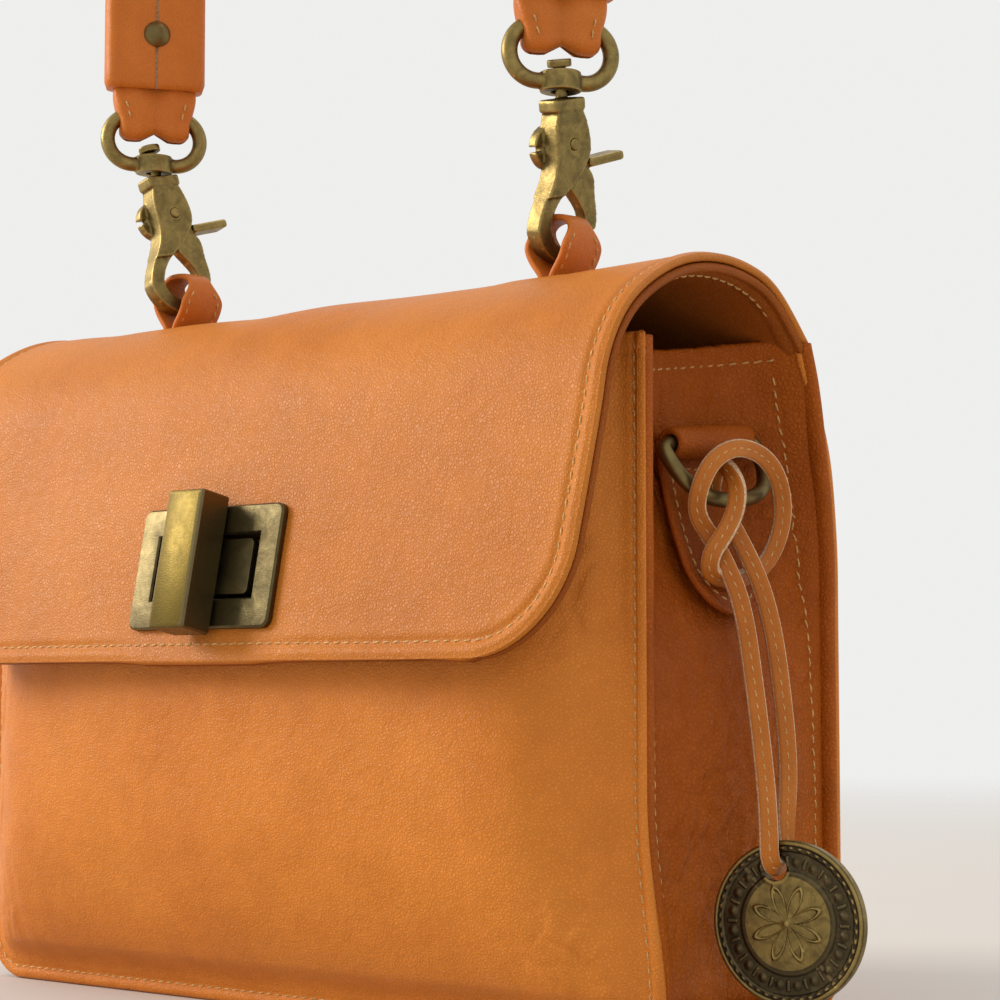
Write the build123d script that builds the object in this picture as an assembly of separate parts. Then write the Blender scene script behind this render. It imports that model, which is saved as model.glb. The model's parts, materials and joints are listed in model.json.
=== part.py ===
"""Flap-top leather sling bag with a turn lock, a clip-on handle and a hanging charm.

Millimetres. +X is the viewer's right, the front faces -Y, +Z is up. The origin is on the
surface the bag stands on, under the middle of the lips' spacing front to back.
"""
from build123d import *
from math import cos, sin, tan, radians, degrees, sqrt
import os

# ---- driving dimensions -------------------------------------------------------------
HALF_WIDTH = 125.0        # outside of the sewn lips
HEIGHT = 170.0            # front panel's top edge
BACK_HEIGHT = 173.5       # where the flap leaves the back panel
FRONT_Y = -38.0           # front panel where it meets its lip
BACK_Y = 37.0             # back panel's outer face
LIP_WIDTH = 5.0           # how far the sewn lip stands in from the outside
LIP_DEPTH = 6.0           # front to back
CORNER_RADIUS = 14.0      # lower corners of the bag
LEATHER = 2.0             # one layer of body leather
BASE_THICK = 3.0
FRONT_BULGE = 26.0        # how far the front panel pillows out
GUSSET_X = 122.0          # gusset's outer face at its front and back seams
LINING = 0.8

FLAP_HALF_TOP = 123.5     # flap half width over the arch
FLAP_HALF_LOW = 119.5     # flap half width at its bottom edge
FLAP_CORNER = 28.0
FLAP_BOTTOM_Z = 92.0
FLAP_OUTER = 2.2          # flap's outer leather
FLAP_LAYER_GAP = 0.1
FLAP_TOTAL = 4.6          # outer leather, gap and lining leather

LOCK_Z = 116.0
FRAME_SIZE = (52.5, 32.5, 2.0)
HOLE_SIZE = (38.0, 17.0)
BLOCK_SIZE = (33.0, 14.5)
BAR_SIZE = (13.0, 36.5, 10.0)
POST_R = 2.45
POST_GAP = 0.05

LOOPS = {1: 71.5, -1: -73.0}   # the two loops on the flap's top
PIVOT_Y = -10.5           # axis the handle tilts about, through both loops
PIVOT_Z = 205.5
# each hook's eye in X and Y, its lean outwards, its tilt to the front and its own turn
HOOKS = {1: (71.3, -10.5, 7.4, 15.5, -9.0), -1: (-74.5, -13.0, 12.5, 10.0, -8.5)}
RING_TURN = 33.0          # strap ends are turned this much about the hooks' axis
HOOK_THICK = 6.4
CLAW_THICK = 5.0
RING_WIRE_R = 2.15
RING_SIZE = (27.7, 15.0)  # centre line of the swivel ring
RING_BOTTOM = 37.0        # its lower run above the pivot axis
SWIVEL_Y = 3.0            # swivel axis behind the pivot axis
NECK_R = 1.5
NECK_GAP = 0.85           # the ring's collar hangs level on the leaning neck

STRAP_WIDTH = 25.0
STRAP_FOLD_WIDTH = 20.6   # gathered where it passes round the ring
STRAP_THICK = 5.6
WRAP_WIDTH = 30.0
WRAP_THICK = 8.8
WRAP_START = 59.5         # lower end of the wrap above the eye
TWIST_AT = 97.0           # above this the handle lies in one plane
ARCH_START = 142.0        # legs rise straight to here

DRING_WIRE_R = 2.0
DRING_HALF = 19.5         # half the bar's centre line
DRING_DROP = 17.0         # bow below the bar
DRING_OPEN = {1: 28.0, -1: 10.0}   # ring stands off by these angles: right held by the lace
DRING_AT = (111.0, -1.5, 147.0)
DRING_ROLL = 6.0          # bar rises to the back
PATCH_WIDTH = 31.0
PATCH_LOW = 103.0         # bottom of the patch's round end
PATCH_GAP = 0.05

LACE_R = 2.0
MEDALLION_R = 19.5
MEDALLION_THICK = 3.2
MEDALLION_AT = (142.5, -13.0, 29.5)
MEDALLION_TURN = 8.6      # face turned from the front towards +X
MEDALLION_HOLE = (-3.2, 13.0, 3.2)

X_AXIS = (1, 0, 0)


# ---- helpers ------------------------------------------------------------------------
def write(node, shape):
    """One STEP for one node."""
    shape.label = node
    export_step(shape, f"parts/{node}.step")


def yz_prism(points_or_face, half_width):
    """A profile in the Y-Z plane, extruded both ways along X."""
    face = points_or_face
    if not isinstance(face, (Face, Sketch)):
        face = make_face(Polyline(*[(0, y, z) for y, z in face], close=True))
    return extrude(face, amount=half_width, dir=X_AXIS, both=True)


def xz_face(points):
    """A closed outline in the X-Z plane as a face."""
    return make_face(Polyline(*[(x, 0, z) for x, z in points], close=True))


def box(x0, x1, y0, y1, z0, z1):
    """A box from its limits."""
    middle = ((x0 + x1) / 2, (y0 + y1) / 2, (z0 + z1) / 2)
    return Pos(*middle) * Box(x1 - x0, y1 - y0, z1 - z0)


def rod(radius, start, end):
    """A round rod between two points."""
    start, end = Vector(*start), Vector(*end)
    line = end - start
    place = Plane(origin=start, z_dir=line)
    return place * Cylinder(radius, line.length, align=(Align.CENTER, Align.CENTER, Align.MIN))


def outline(inset):
    """The bag's front outline, square at the top and rounded at the lower corners."""
    half, radius = HALF_WIDTH - inset, CORNER_RADIUS - inset
    top = 220.0
    points = [(-half, top), (-half, inset), (half, inset), (half, top)]
    face = xz_face(points)
    return fillet([v for v in face.vertices() if v.Z < top / 2], radius)


def outline_prism(inset, y0, y1, z1):
    """The outline between two depths, cut level at a height."""
    solid = extrude(Pos(0, y0, 0) * outline(inset), amount=y1 - y0, dir=(0, 1, 0))
    return solid & box(-200, 200, -200, 200, -10, z1)


# ---- bag body -----------------------------------------------------------------------
def front_space(shift):
    """The pillowed space behind the front panel's outer face, moved back by a shift."""
    y = FRONT_Y + shift
    back = FRONT_Y + LEATHER + shift
    half = HALF_WIDTH - LIP_WIDTH
    rise = Spline((0, y, 0), (0, y - 9.5, 14), (0, y - 21.5, 42), (0, y - FRONT_BULGE, 78),
                  (0, y - 22.8, 118), (0, y - 15.5, 145), (0, y - 7, HEIGHT))
    side = make_face([rise, Line(rise @ 1, (0, back, HEIGHT)),
                      Line((0, back, HEIGHT), (0, back, 0)), Line((0, back, 0), rise @ 0)])
    sweep_x = Spline((-half, y, 0), (-half + 22, y - 17, 0), (-half + 60, y - 24.5, 0),
                     (half - 60, y - 24.5, 0), (half - 22, y - 17, 0), (half, y, 0))
    top = make_face([sweep_x, Line(sweep_x @ 1, (half, back, 0)),
                     Line((half, back, 0), (-half, back, 0)), Line((-half, back, 0), sweep_x @ 0)])
    return yz_prism(side, half) & extrude(top, amount=HEIGHT, dir=(0, 0, 1))


def front_panel():
    """Pillowed leather sheet of even depth, inside the front lip."""
    sheet = front_space(0) - front_space(LEATHER)
    return sheet & outline_prism(LIP_WIDTH, -100, 0, HEIGHT)


def back_profile(inset):
    """The back panel's outer line, moved in: upright, then curving forwards at the top."""
    return [(BACK_Y - inset, 0), (BACK_Y - inset, 132), (34.6 - inset, 158),
            (29.9 - inset, BACK_HEIGHT)]


def back_profile_space():
    """Everything behind the back panel's inner face, between the lips."""
    foot, bend, middle, top = back_profile(LEATHER)
    curve = ThreePointArc((0, *bend), (0, *middle), (0, *top))
    face = make_face([Line((0, *foot), (0, *bend)), curve, Line((0, *top), (0, 60, top[1])),
                      Line((0, 60, top[1]), (0, 60, 0)), Line((0, 60, 0), (0, *foot))])
    return yz_prism(face, HALF_WIDTH - LIP_WIDTH)


def back_panel():
    """Back leather with its curved top."""
    a, b = back_profile(0), back_profile(LEATHER)
    lines = []
    for foot, bend, middle, top in (a, b):
        lines.append((Line((0, *foot), (0, *bend)),
                      ThreePointArc((0, *bend), (0, *middle), (0, *top))))
    face = make_face([*lines[0], *lines[1], Line((0, *a[3]), (0, *b[3])),
                      Line((0, *a[0]), (0, *b[0]))])
    sheet = yz_prism(face, HALF_WIDTH - LIP_WIDTH)
    return sheet & outline_prism(LIP_WIDTH, -100, 100, BACK_HEIGHT)


def lip(y0, top):
    """The raised double edge round one panel."""
    band = outline_prism(0, y0, y0 + LIP_DEPTH, top) - outline_prism(LIP_WIDTH, y0 - 1, 200, top + 1)
    return band


# height and how far the side wall is drawn in there, at mid depth
GUSSET_LEVELS = ((BASE_THICK + 9, 0.5), (30, -0.6), (68, -1.6), (104, 4), (128, 13), (150, 17.5),
                 (HEIGHT, 18.5))


def gusset_sheet(near, far):
    """The right side wall's curved sheet between two offsets from its outer face."""
    y0, y1 = FRONT_Y + 3, BACK_Y - 4
    sections = []
    for z, pinch in GUSSET_LEVELS:
        lines = []
        for shift in (near, far):
            x = GUSSET_X + shift
            lines.append(Spline((x, y0, z), (x - 0.93 * pinch, -18, z), (x - pinch, -1, z),
                                (x - 0.93 * pinch, 16, z), (x, y1, z)))
        outer, inner = lines
        sections.append(make_face([outer, Line(outer @ 1, inner @ 1), inner,
                                   Line(inner @ 0, outer @ 0)]))
    return loft(sections)


def gusset(side):
    """A soft side wall: drawn in at the mouth, full below, turned under at the base."""
    y0, y1 = FRONT_Y + 3, BACK_Y - 4
    wall = gusset_sheet(0, -LEATHER)
    foot = outline_prism(HALF_WIDTH - GUSSET_X, y0, y1, BASE_THICK + 9)
    foot -= outline_prism(HALF_WIDTH - GUSSET_X + LEATHER, y0 - 1, y1 + 1, 60)
    foot &= box(107, 200, -100, 100, -1, BASE_THICK + 9)
    whole = wall + foot - back_profile_space()
    return whole if side > 0 else mirror(whole, Plane.YZ)


def base_panel():
    """The bottom leather."""
    return box(-108, 108, FRONT_Y + 3, BACK_Y - 4, 0, BASE_THICK)


def base_board():
    """Stiff board on the inside of the base."""
    return box(-106.5, 106.5, FRONT_Y + 4, BACK_Y - 5, BASE_THICK, BASE_THICK + 2)


def lining():
    """Thin cloth bag inside the leather, open at the top."""
    low = BASE_THICK + 2.2
    half = 101.5
    outer = [(-34.5, 162), (-34.5, low), (32.5, low), (32.5, 132), (28, 162)]
    t = LINING
    inner = [(-34.5 + t, 163), (-34.5 + t, low + t), (32.5 - t, low + t), (32.5 - t, 132), (28 - t, 163)]
    return yz_prism(outer, half) - yz_prism(inner, half - t)


def inner_pocket():
    """Flat patch pocket on the back of the lining, open at the top."""
    y = 32.5 - LINING
    return box(-60, 60, y - 2.6, y, 45, 130) - box(-57, 57, y - 1.4, y - 0.2, 48, 131)


# ---- flap ---------------------------------------------------------------------------
HINGE = (0.0, 30.2, 173.8)   # line the flap bends about, at the back's outer surface
ARCH_TOP = (-8.0, 191.3)
ARCH_END = (-46.0, 179.5)
SHOULDER_R = 38.0
SHOULDER_TURN = 41.0


def flap_curves():
    """Centre and radius of the arch, of the shoulder, and the front run's start and direction."""
    (x1, y1), (x2, y2), (x3, y3) = (29.9, 173.9), ARCH_TOP, ARCH_END
    a, b = 2 * (x2 - x1), 2 * (y2 - y1)
    c, d = 2 * (x3 - x1), 2 * (y3 - y1)
    e = x2**2 + y2**2 - x1**2 - y1**2
    f = x3**2 + y3**2 - x1**2 - y1**2
    cy, cz = (e * d - b * f) / (a * d - b * c), (a * f - e * c) / (a * d - b * c)
    arch_r = sqrt((x1 - cy) ** 2 + (y1 - cz) ** 2)
    out = Vector(0, x3 - cy, y3 - cz).normalized()
    shoulder = Vector(0, cy, cz) + out * (arch_r - SHOULDER_R)
    turned = out.rotate(Axis.X, SHOULDER_TURN)
    down = turned.rotate(Axis.X, 90)
    return Vector(0, cy, cz), arch_r, out, shoulder, turned, down


def flap_line(depth):
    """The flap's section line, at a depth inside its outer surface, as edges back to front."""
    centre, arch_r, out, shoulder, turned, down = flap_curves()
    start = (Vector(0, 29.9, 173.9) - centre).normalized()
    mid = (Vector(0, *ARCH_TOP) - centre).normalized()
    half = out.rotate(Axis.X, SHOULDER_TURN / 2)
    r1, r2 = arch_r - depth, SHOULDER_R - depth
    arch = ThreePointArc(centre + start * r1, centre + mid * r1, centre + out * r1)
    bend = ThreePointArc(shoulder + out * r2, shoulder + half * r2, shoulder + turned * r2)
    foot = shoulder + turned * r2
    run = (foot.Z - FLAP_BOTTOM_Z + 6) / -down.Z
    return arch, bend, Line(foot, foot + down * run)


def flap_sheet(near, far):
    """Flap leather between two depths, tapered and rounded at its lower corners."""
    a, b = flap_line(near), flap_line(far)
    face = make_face([*a, *b, Line(a[0] @ 0, b[0] @ 0), Line(a[2] @ 1, b[2] @ 1)])
    band = yz_prism(face, 140)
    taper = [(-FLAP_HALF_TOP, 210), (-FLAP_HALF_TOP, 160), (-FLAP_HALF_LOW, FLAP_BOTTOM_Z),
             (FLAP_HALF_LOW, FLAP_BOTTOM_Z), (FLAP_HALF_TOP, 160), (FLAP_HALF_TOP, 210)]
    plan = xz_face(taper)
    plan = fillet([v for v in plan.vertices() if v.Z < FLAP_BOTTOM_Z + 1], FLAP_CORNER)
    band &= box(-200, 200, -200, 200, 0, 300) - box(-200, 200, 0, 60, 0, BACK_HEIGHT + 0.4)
    return band & extrude(plan, amount=150, dir=(0, 1, 0), both=True)


def lock_plane():
    """Flap's outer face at the lock: local x along X, local y up, local z outwards."""
    _, _, _, shoulder, turned, down = flap_curves()
    foot = shoulder + turned * SHOULDER_R
    along = (foot.Z - LOCK_Z) / -down.Z
    return Plane(origin=foot + down * along, x_dir=X_AXIS, z_dir=turned)


def plate(size, w0, w1, hole=None, corner=0.0):
    """A flat plate in the lock's own frame, from depth w0 to w1."""
    outer = RectangleRounded(size[0], size[1], corner) if corner else Rectangle(*size)
    face = outer - Rectangle(*hole) if hole else outer
    return extrude(Pos(0, 0, w0) * face, amount=w1 - w0)


def lock_parts():
    """The turn lock's pieces, and the cuts they need, in the lock's own frame."""
    width, tall, thick = FRAME_SIZE
    collar = (HOLE_SIZE[0] + 2, HOLE_SIZE[1] + 2)
    screws = [(x, y) for x in (-22.3, 22.3) for y in (-12.3, 12.3)]
    frame = plate((width, tall), 0, thick, HOLE_SIZE, 2.5)
    frame = chamfer(frame.edges().filter_by(Plane.XY).group_by(Axis.Z)[-1], 0.5)
    frame += plate(collar, -FLAP_TOTAL, 0.01, HOLE_SIZE)
    backing = plate((width - 2, tall - 2), -FLAP_TOTAL - 0.8, -FLAP_TOTAL, (collar[0] + 0.2, collar[1] + 0.2), 2)
    cut = plate((collar[0] + 0.2, collar[1] + 0.2), -10, 5)
    shafts, heads = [], []
    for x, y in screws:
        shafts.append(Pos(x, y, -2.5) * Cylinder(1.0, 7.6))
        heads.append(Pos(x, y, -FLAP_TOTAL - 1.05) * Cylinder(1.9, 0.5))
    bores = Compound(children=[Pos(x, y, -2.5) * Cylinder(1.0, 7.6) for x, y in screws])
    screw_set = [shaft + head for shaft, head in zip(shafts, heads)]
    flange_w = -FLAP_TOTAL - 1.75
    base = plate((44, 25), flange_w - 1.0, flange_w, corner=3)
    base += plate(BLOCK_SIZE, flange_w - 0.01, 1.2, corner=1.5)
    base -= Pos(0, 0, -5) * Cylinder(POST_R + POST_GAP, 30)
    base_back = plate((40, 21), flange_w - 5.0, flange_w - 4.0, corner=3)
    base_back -= Pos(0, 0, -10) * Cylinder(POST_R + 0.4, 20)
    bar = chamfer(extrude(Pos(0, 0, 2.4) * Rectangle(BAR_SIZE[0], BAR_SIZE[1]), amount=BAR_SIZE[2])
                  .edges().filter_by(Axis.X).group_by(Axis.Z)[-1], 3.0)
    bar += Pos(0, 0, (2.41 + flange_w - 6.6) / 2) * Cylinder(POST_R, 2.41 - flange_w + 6.6)
    retainer = Pos(0, 0, flange_w - 6.1) * (Cylinder(4.6, 1.0) - Cylinder(POST_R, 2))
    well = plate((44.4, 25.4), flange_w - 1.05, flange_w + 6, corner=3)
    well += plate((40.4, 21.4), flange_w - 6.6, flange_w - 3.0, corner=3)
    well += Pos(0, 0, flange_w) * Cylinder(POST_R + 0.6, 12)
    return {"frame": frame, "frame_backing": backing, "screws": screw_set, "bores": bores,
            "cut": cut, "base": base, "base_backing": base_back, "bar": bar,
            "retainer": retainer, "well": well}


def loop(side):
    """A leather loop standing on the flap, notched where a hook's claw turns."""
    low, top, inner, outer, thick = PIVOT_Z - 18.0, PIVOT_Z + 2.7, 6.0, 7.5, 1.5
    ring = xz_face([(-outer, low), (-outer, top), (outer, top), (outer, low)])
    ring = fillet([v for v in ring.vertices() if v.Z > low + 1], 6.0)
    hole = xz_face([(-inner, low - 1), (-inner, top - thick), (inner, top - thick), (inner, low - 1)])
    hole = fillet([v for v in hole.vertices() if v.Z > low + 1], 4.5)
    band = extrude(ring - hole, amount=7.5, dir=(0, 1, 0), both=True)
    off_x, off_y = HOOKS[side][0] - LOOPS[side], HOOKS[side][1] - PIVOT_Y
    for y0, y1 in ((-10, off_y - 4.4), (off_y + 1.7, 10)):
        if y0 < y1:
            band -= box(off_x - 5.2, off_x + 5.2, y0, y1, PIVOT_Z - 3, top + 1)
    return Pos(LOOPS[side], PIVOT_Y, 0) * band


# ---- swivel hooks -------------------------------------------------------------------
PIN_AT = (3.7, 20.9)         # trigger pin, in the hook's own Y and Z
PIN_R = 1.5
SLOT, LEVER = 2.0, 1.85   # half widths of the body's slot and of the lever in it


def hook_place(side):
    """From a hook's own frame, with its eye at the origin, to the bag's frame."""
    x, y, lean, tilt, turn = HOOKS[side]
    return Location((x, y, PIVOT_Z), (tilt, side * lean, turn))


def yz_plate(face, x0, x1):
    """A flat plate from a profile in the Y-Z plane, between two X values."""
    return extrude(Pos(x0, 0, 0) * face, amount=x1 - x0, dir=X_AXIS)


def claw_profile():
    """Hook body and claw in one: block end, swelling round the pin, then the claw's sweep."""
    front = Spline((0, -1.4, 29.5), (0, -2.8, 22), (0, -3.4, 14.5), (0, -7.4, 7.2), (0, -10.6, 0))
    sweep_low = ThreePointArc((0, -10.6, 0), (0, -2.2, -9.6), (0, 9.4, -4.4))
    tip = Line((0, 9.4, -4.4), (0, 6.2, -2.4))
    inner = ThreePointArc((0, 6.2, -2.4), (0, -1.4, -5.6), (0, -6.0, 0.4))
    rise = Spline((0, -6.0, 0.4), (0, -4.2, 4.4), (0, -1.0, 7.9), (0, 2.2, 10.2))
    back = Spline((0, 2.2, 10.2), (0, 5.6, 13.2), (0, 9.3, 18.5), (0, 9.5, 23), (0, 7.6, 29.5))
    return make_face([front, sweep_low, tip, inner, rise, back,
                      Line((0, 7.6, 29.5), (0, -1.4, 29.5))])


def hook_body():
    """Cast body, claw, swivel neck and stud head, in the hook's own frame."""
    profile = claw_profile()
    body = yz_plate(profile, -HOOK_THICK / 2, HOOK_THICK / 2)
    slim = CLAW_THICK / 2
    body -= box(slim, 9, -30, 30, -30, 8) + box(-9, -slim, -30, 30, -30, 8)
    boss = Pos(-3.2, 0.2, 20.4) * Rot(0, 90, 0) * Cylinder(6.0, 2.8)
    boss -= box(-5, 5, -8, -3.4, 19.7, 21.1)
    body += boss & box(-9, 9, -9, 8, 12, 29.5)
    block = Pos(0, 3.0, 31.2) * Box(6.8, 11.0, 3.4)
    body += fillet(block.edges(), 0.7)
    slot = box(-SLOT, SLOT, -0.9, 14, 7.4, 26.2)
    body -= slot
    body -= Pos(0, *PIN_AT) * Rot(0, 90, 0) * Cylinder(PIN_R, 20)
    body += Pos(0, SWIVEL_Y, 37.0) * Cylinder(NECK_R, 8.4)
    body += Pos(0, SWIVEL_Y, 41.9) * Cylinder(3.2, 2.0)
    return body


def hook_pin():
    """Rivet that the trigger turns on, with a low domed head each side."""
    pin = Rot(0, 90, 0) * Cylinder(PIN_R, HOOK_THICK + 0.6)
    return Pos(0, *PIN_AT) * chamfer(pin.edges(), 0.25)


def trigger():
    """Sprung lever: hub on the pin, thumb tab behind, gate down to the claw's tip."""
    outer = Spline((0, 9.4, 14.2), (0, 11.1, 11), (0, 11.0, 7.0), (0, 11.2, 2.4), (0, 10.2, -2.2))
    end = ThreePointArc((0, 10.2, -2.2), (0, 8.4, -1.75), (0, 6.6, -1.5))
    inner = Spline((0, 6.6, -1.5), (0, 6.2, 3.4), (0, 4.0, 6.9), (0, 2.2, 9.4))
    face = make_face([outer, end, inner, Line((0, 2.2, 9.4), (0, 1.4, 16.0)),
                      Line((0, 1.4, 16.0), (0, 9.4, 14.2))])
    lever = yz_plate(face, -LEVER, LEVER)
    hub = Pos(0, *PIN_AT) * Rot(0, 90, 0) * Cylinder(4.3, 2 * LEVER)
    neck = box(-LEVER, LEVER, 0.6, 9.5, 14, 20)
    tab = Pos(0, 15.2, 16.0) * Rot(4, 0, 0) * Box(6.4, 12.6, 2.5)
    tab = fillet(tab.edges(), 0.8)
    neck &= Pos(0, *PIN_AT) * Rot(0, 90, 0) * Cylinder(9.0, 20)
    shape = lever + hub + neck + tab
    return shape - Pos(0, *PIN_AT) * Rot(0, 90, 0) * Cylinder(PIN_R + POST_GAP, 20)


def swivel_ring():
    """Oval ring with its collar, in the hook's own frame, before its turn."""
    length, height = RING_SIZE
    radius = height / 2
    reach = length / 2 - radius
    z = RING_BOTTOM + radius
    ring = None
    for z_run in (RING_BOTTOM, RING_BOTTOM + height):
        run = rod(RING_WIRE_R, (0, -reach, z_run), (0, reach, z_run))
        ring = run if ring is None else ring + run
    for end in (-1, 1):
        bend = Pos(0, end * reach, z) * Rot(0, 90, 0) * Torus(radius, RING_WIRE_R)
        ring += bend & box(-9, 9, *sorted((end * reach, end * 40)), 0, 90)
    ring += Pos(0, 0, RING_BOTTOM) * Cylinder(5.4, 5.2)
    return ring - Pos(0, 0, RING_BOTTOM) * Cylinder(NECK_R + NECK_GAP, 20)


def ring_place(side):
    """Ring and strap end: upright above the hook's neck, with a turn."""
    collar = (hook_place(side) * Location((0, SWIVEL_Y, RING_BOTTOM))).position
    return Location((collar.X, collar.Y, collar.Z - RING_BOTTOM), (0, 0, -RING_TURN))


# ---- handle -------------------------------------------------------------------------
def strap_end():
    """The strap folded over the ring's upper bar, in the ring's frame: face along X."""
    bar_z = RING_BOTTOM + RING_SIZE[1]
    wide, slim, low = 4.5, STRAP_THICK / 2, 44.0
    half = [(0, low), (wide - 1.5, low + 0.8), (wide, low + 2.5), (wide, bar_z + 0.5),
            (slim, WRAP_START - 0.5), (slim, TWIST_AT)]
    points = half + [(-x, z) for x, z in reversed(half[1:])]
    face = make_face(Polyline(*[(x, 0, z) for x, z in points], close=True))
    fold = extrude(face, amount=STRAP_WIDTH / 2, dir=(0, 1, 0), both=True)
    slim, wide = STRAP_FOLD_WIDTH / 2, STRAP_WIDTH / 2
    sides = [(slim - 1.5, low), (slim, low + 2), (slim, bar_z - 2), (wide, WRAP_START - 1.5), (wide, TWIST_AT)]
    front = Polyline(*[(0, y, z) for y, z in sides + [(-y, z) for y, z in reversed(sides)]], close=True)
    fold &= extrude(make_face(front), amount=20, dir=X_AXIS, both=True)
    seat = RING_WIRE_R + 0.05
    gap = rod(seat, (0, -20, bar_z), (0, 20, bar_z)) + box(-seat, seat, -20, 20, bar_z - 4.2, bar_z)
    return fold - gap


def arch_band(width, thick, start):
    """The handle's upper part, in an upright plane: straight legs, then a half circle."""
    right, left = ring_place(1).position, ring_place(-1).position
    centre_x, span = (right.X + left.X) / 2, (right.X - left.X) / 2
    y, z = (right.Y + left.Y) / 2, (right.Z + left.Z) / 2
    outer, inner = span + thick / 2, span - thick / 2
    top = z + ARCH_START
    lines = []
    for r in (outer, inner):
        feet = [(centre_x + k * r, y, z + start) for k in (1, -1)]
        shoulders = [(centre_x + k * r, y, top) for k in (1, -1)]
        lines += [Line(feet[0], shoulders[0]), Line(feet[1], shoulders[1]),
                  ThreePointArc(shoulders[0], (centre_x, y, top + r), shoulders[1])]
    lines += [Line((centre_x + k * outer, y, z + start), (centre_x + k * inner, y, z + start)) for k in (1, -1)]
    return extrude(make_face(lines), amount=width / 2, dir=(0, 1, 0), both=True)


def leg_prism(side, width, thick, z0, z1):
    """A straight stretch of the handle above one ring, turned with the ring."""
    return ring_place(side) * box(-thick / 2, thick / 2, -width / 2, width / 2, z0, z1)


def strap():
    """The handle's leather strap from ring to ring."""
    whole = arch_band(STRAP_WIDTH, STRAP_THICK, TWIST_AT - 6)
    for side in (-1, 1):
        whole += ring_place(side) * strap_end()
    return whole


def handle_wrap():
    """The wide leather sleeve sewn round the strap, seam and studs on its inner face."""
    outer = arch_band(WRAP_WIDTH, WRAP_THICK, TWIST_AT - 4)
    inner = arch_band(STRAP_WIDTH + 1, STRAP_THICK + 0.2, TWIST_AT - 8)
    for side in (-1, 1):
        outer += leg_prism(side, WRAP_WIDTH, WRAP_THICK, WRAP_START, TWIST_AT)
        inner += leg_prism(side, STRAP_WIDTH + 1, STRAP_THICK + 0.2, WRAP_START - 1, TWIST_AT + 2)
    return outer - inner


def wrap_stud(side):
    """Domed stud on the wrap's inner face, with its shank."""
    face = -side * WRAP_THICK / 2
    head = Rot(0, -side * 90, 0) * (Sphere(4.6) & Pos(0, 0, 5.2) * Box(12, 12, 6))
    head = Pos(face + side * 2.2, 0, 76) * head
    shank = rod(1.2, (face - side * 0.01, 0, 76), (side * 0.5, 0, 76))
    return ring_place(side) * (head + shank)


def stud_bore(side):
    """Room for a stud's shank."""
    return ring_place(side) * rod(1.2, (-side * 6, 0, 76), (side * 0.5, 0, 76))


# ---- side rings and the charm -------------------------------------------------------
def dring_place(side):
    """A D-ring's bar line, in the bag's frame: local Y along the bar, local Z up the patch."""
    x, y, z = DRING_AT
    return Location((side * x, y, z), (DRING_ROLL, 0, 0))


def d_ring(side):
    """D-ring with its bow hanging away from the gusset."""
    half, drop = DRING_HALF, DRING_DROP
    corners = [(0, -half, 0), (0, half, 0), (0, half, -drop * 0.45), (0, half * 0.42, -drop),
               (0, -half * 0.42, -drop), (0, -half, -drop * 0.45)]
    path = FilletPolyline(*corners, radius=[4, 4, 6, 9, 9, 6], close=True)
    start = Plane(origin=path @ 0, z_dir=path % 0)
    ring = sweep(start * Circle(DRING_WIRE_R), path=path)
    return dring_place(side) * Location((0, 0, 0), (0, -side * DRING_OPEN[side], 0)) * ring


def dring_patch(side):
    """U-shaped patch sewn on the gusset, its top end rolled round the ring's bar."""
    x, y, z = DRING_AT
    half, bore, thick = PATCH_WIDTH / 2, DRING_WIRE_R + 0.06, LEATHER
    shape = make_face(Polyline((0, y - half, z), (0, y + half, z), (0, y + half, PATCH_LOW),
                               (0, y - half, PATCH_LOW), close=True))
    shape = fillet([v for v in shape.vertices() if v.Z < PATCH_LOW + 1], half - 0.5)
    sheet = gusset_sheet(PATCH_GAP + thick, PATCH_GAP)
    patch = sheet & extrude(shape, amount=60, dir=X_AXIS, both=True).moved(Location((120, 0, 0)))
    line = Location(DRING_AT, (DRING_ROLL, 0, 0)) * Rot(90, 0, 0)
    patch = patch + line * Cylinder(bore + thick, PATCH_WIDTH) - line * Cylinder(bore, PATCH_WIDTH + 9)
    return patch if side > 0 else mirror(patch, Plane.YZ)


# The lace runs from its hitch on the right D-ring, down through the medallion and back.
LACE_ROUTE = (
    (113.6, -3.5, 131.0), (114.4, -4.5, 138.5), (119.5, -6.5, 141.2), (123.6, -9.8, 134.5),
    (124.6, -14.5, 126.5), (124.8, -20.5, 119.0), (122.4, -19.5, 111.8), (120.9, -10.5, 109.8),
    (121.0, 3.0, 113.0), (122.6, 12.0, 118.5), (123.6, 15.5, 127.5), (124.0, 12.5, 137.0),
    (124.8, 3.0, 143.2), (124.8, -9.0, 145.2), (122.8, -19.2, 140.8), (119.6, -22.6, 132.2),
    (116.8, -18.6, 124.8), (121.0, -13.0, 118.6), (127.2, -10.8, 111.0), (128.6, -9.6, 96.0),
    (130.6, -8.8, 80.0), (134.0, -10.4, 64.0), (139.6, -17.2, 53.0), (139.9, -17.5, 42.7),
    (138.7, -9.4, 42.7), (138.0, -8.6, 53.0), (134.6, -2.6, 66.0), (131.0, -1.4, 84.0),
    (128.6, -2.0, 102.0), (126.6, -3.6, 116.0), (124.6, -4.4, 124.0))


def lace():
    """The charm's lace as a round tube of straight runs and tangent arcs."""
    points = [Vector(*p) for p in LACE_ROUTE]
    radii = []
    for a, b, c in zip(points, points[1:], points[2:]):
        turn = (b - a).get_angle(c - b)
        shorter = min((b - a).length, (c - b).length)
        radii.append(0.45 * shorter / tan(radians(turn / 2)))
    path = FilletPolyline(*points, radius=radii)
    start = Plane(origin=path @ 0, z_dir=path % 0)
    tube = sweep(start * Circle(LACE_R), path=path)
    print("lace: radii", [round(r, 1) for r in radii])
    print("lace: length %.1f, volume / (section x length) %.4f"
          % (path.length, tube.volume / (3.14159265 * LACE_R**2 * path.length)))
    return tube


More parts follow.
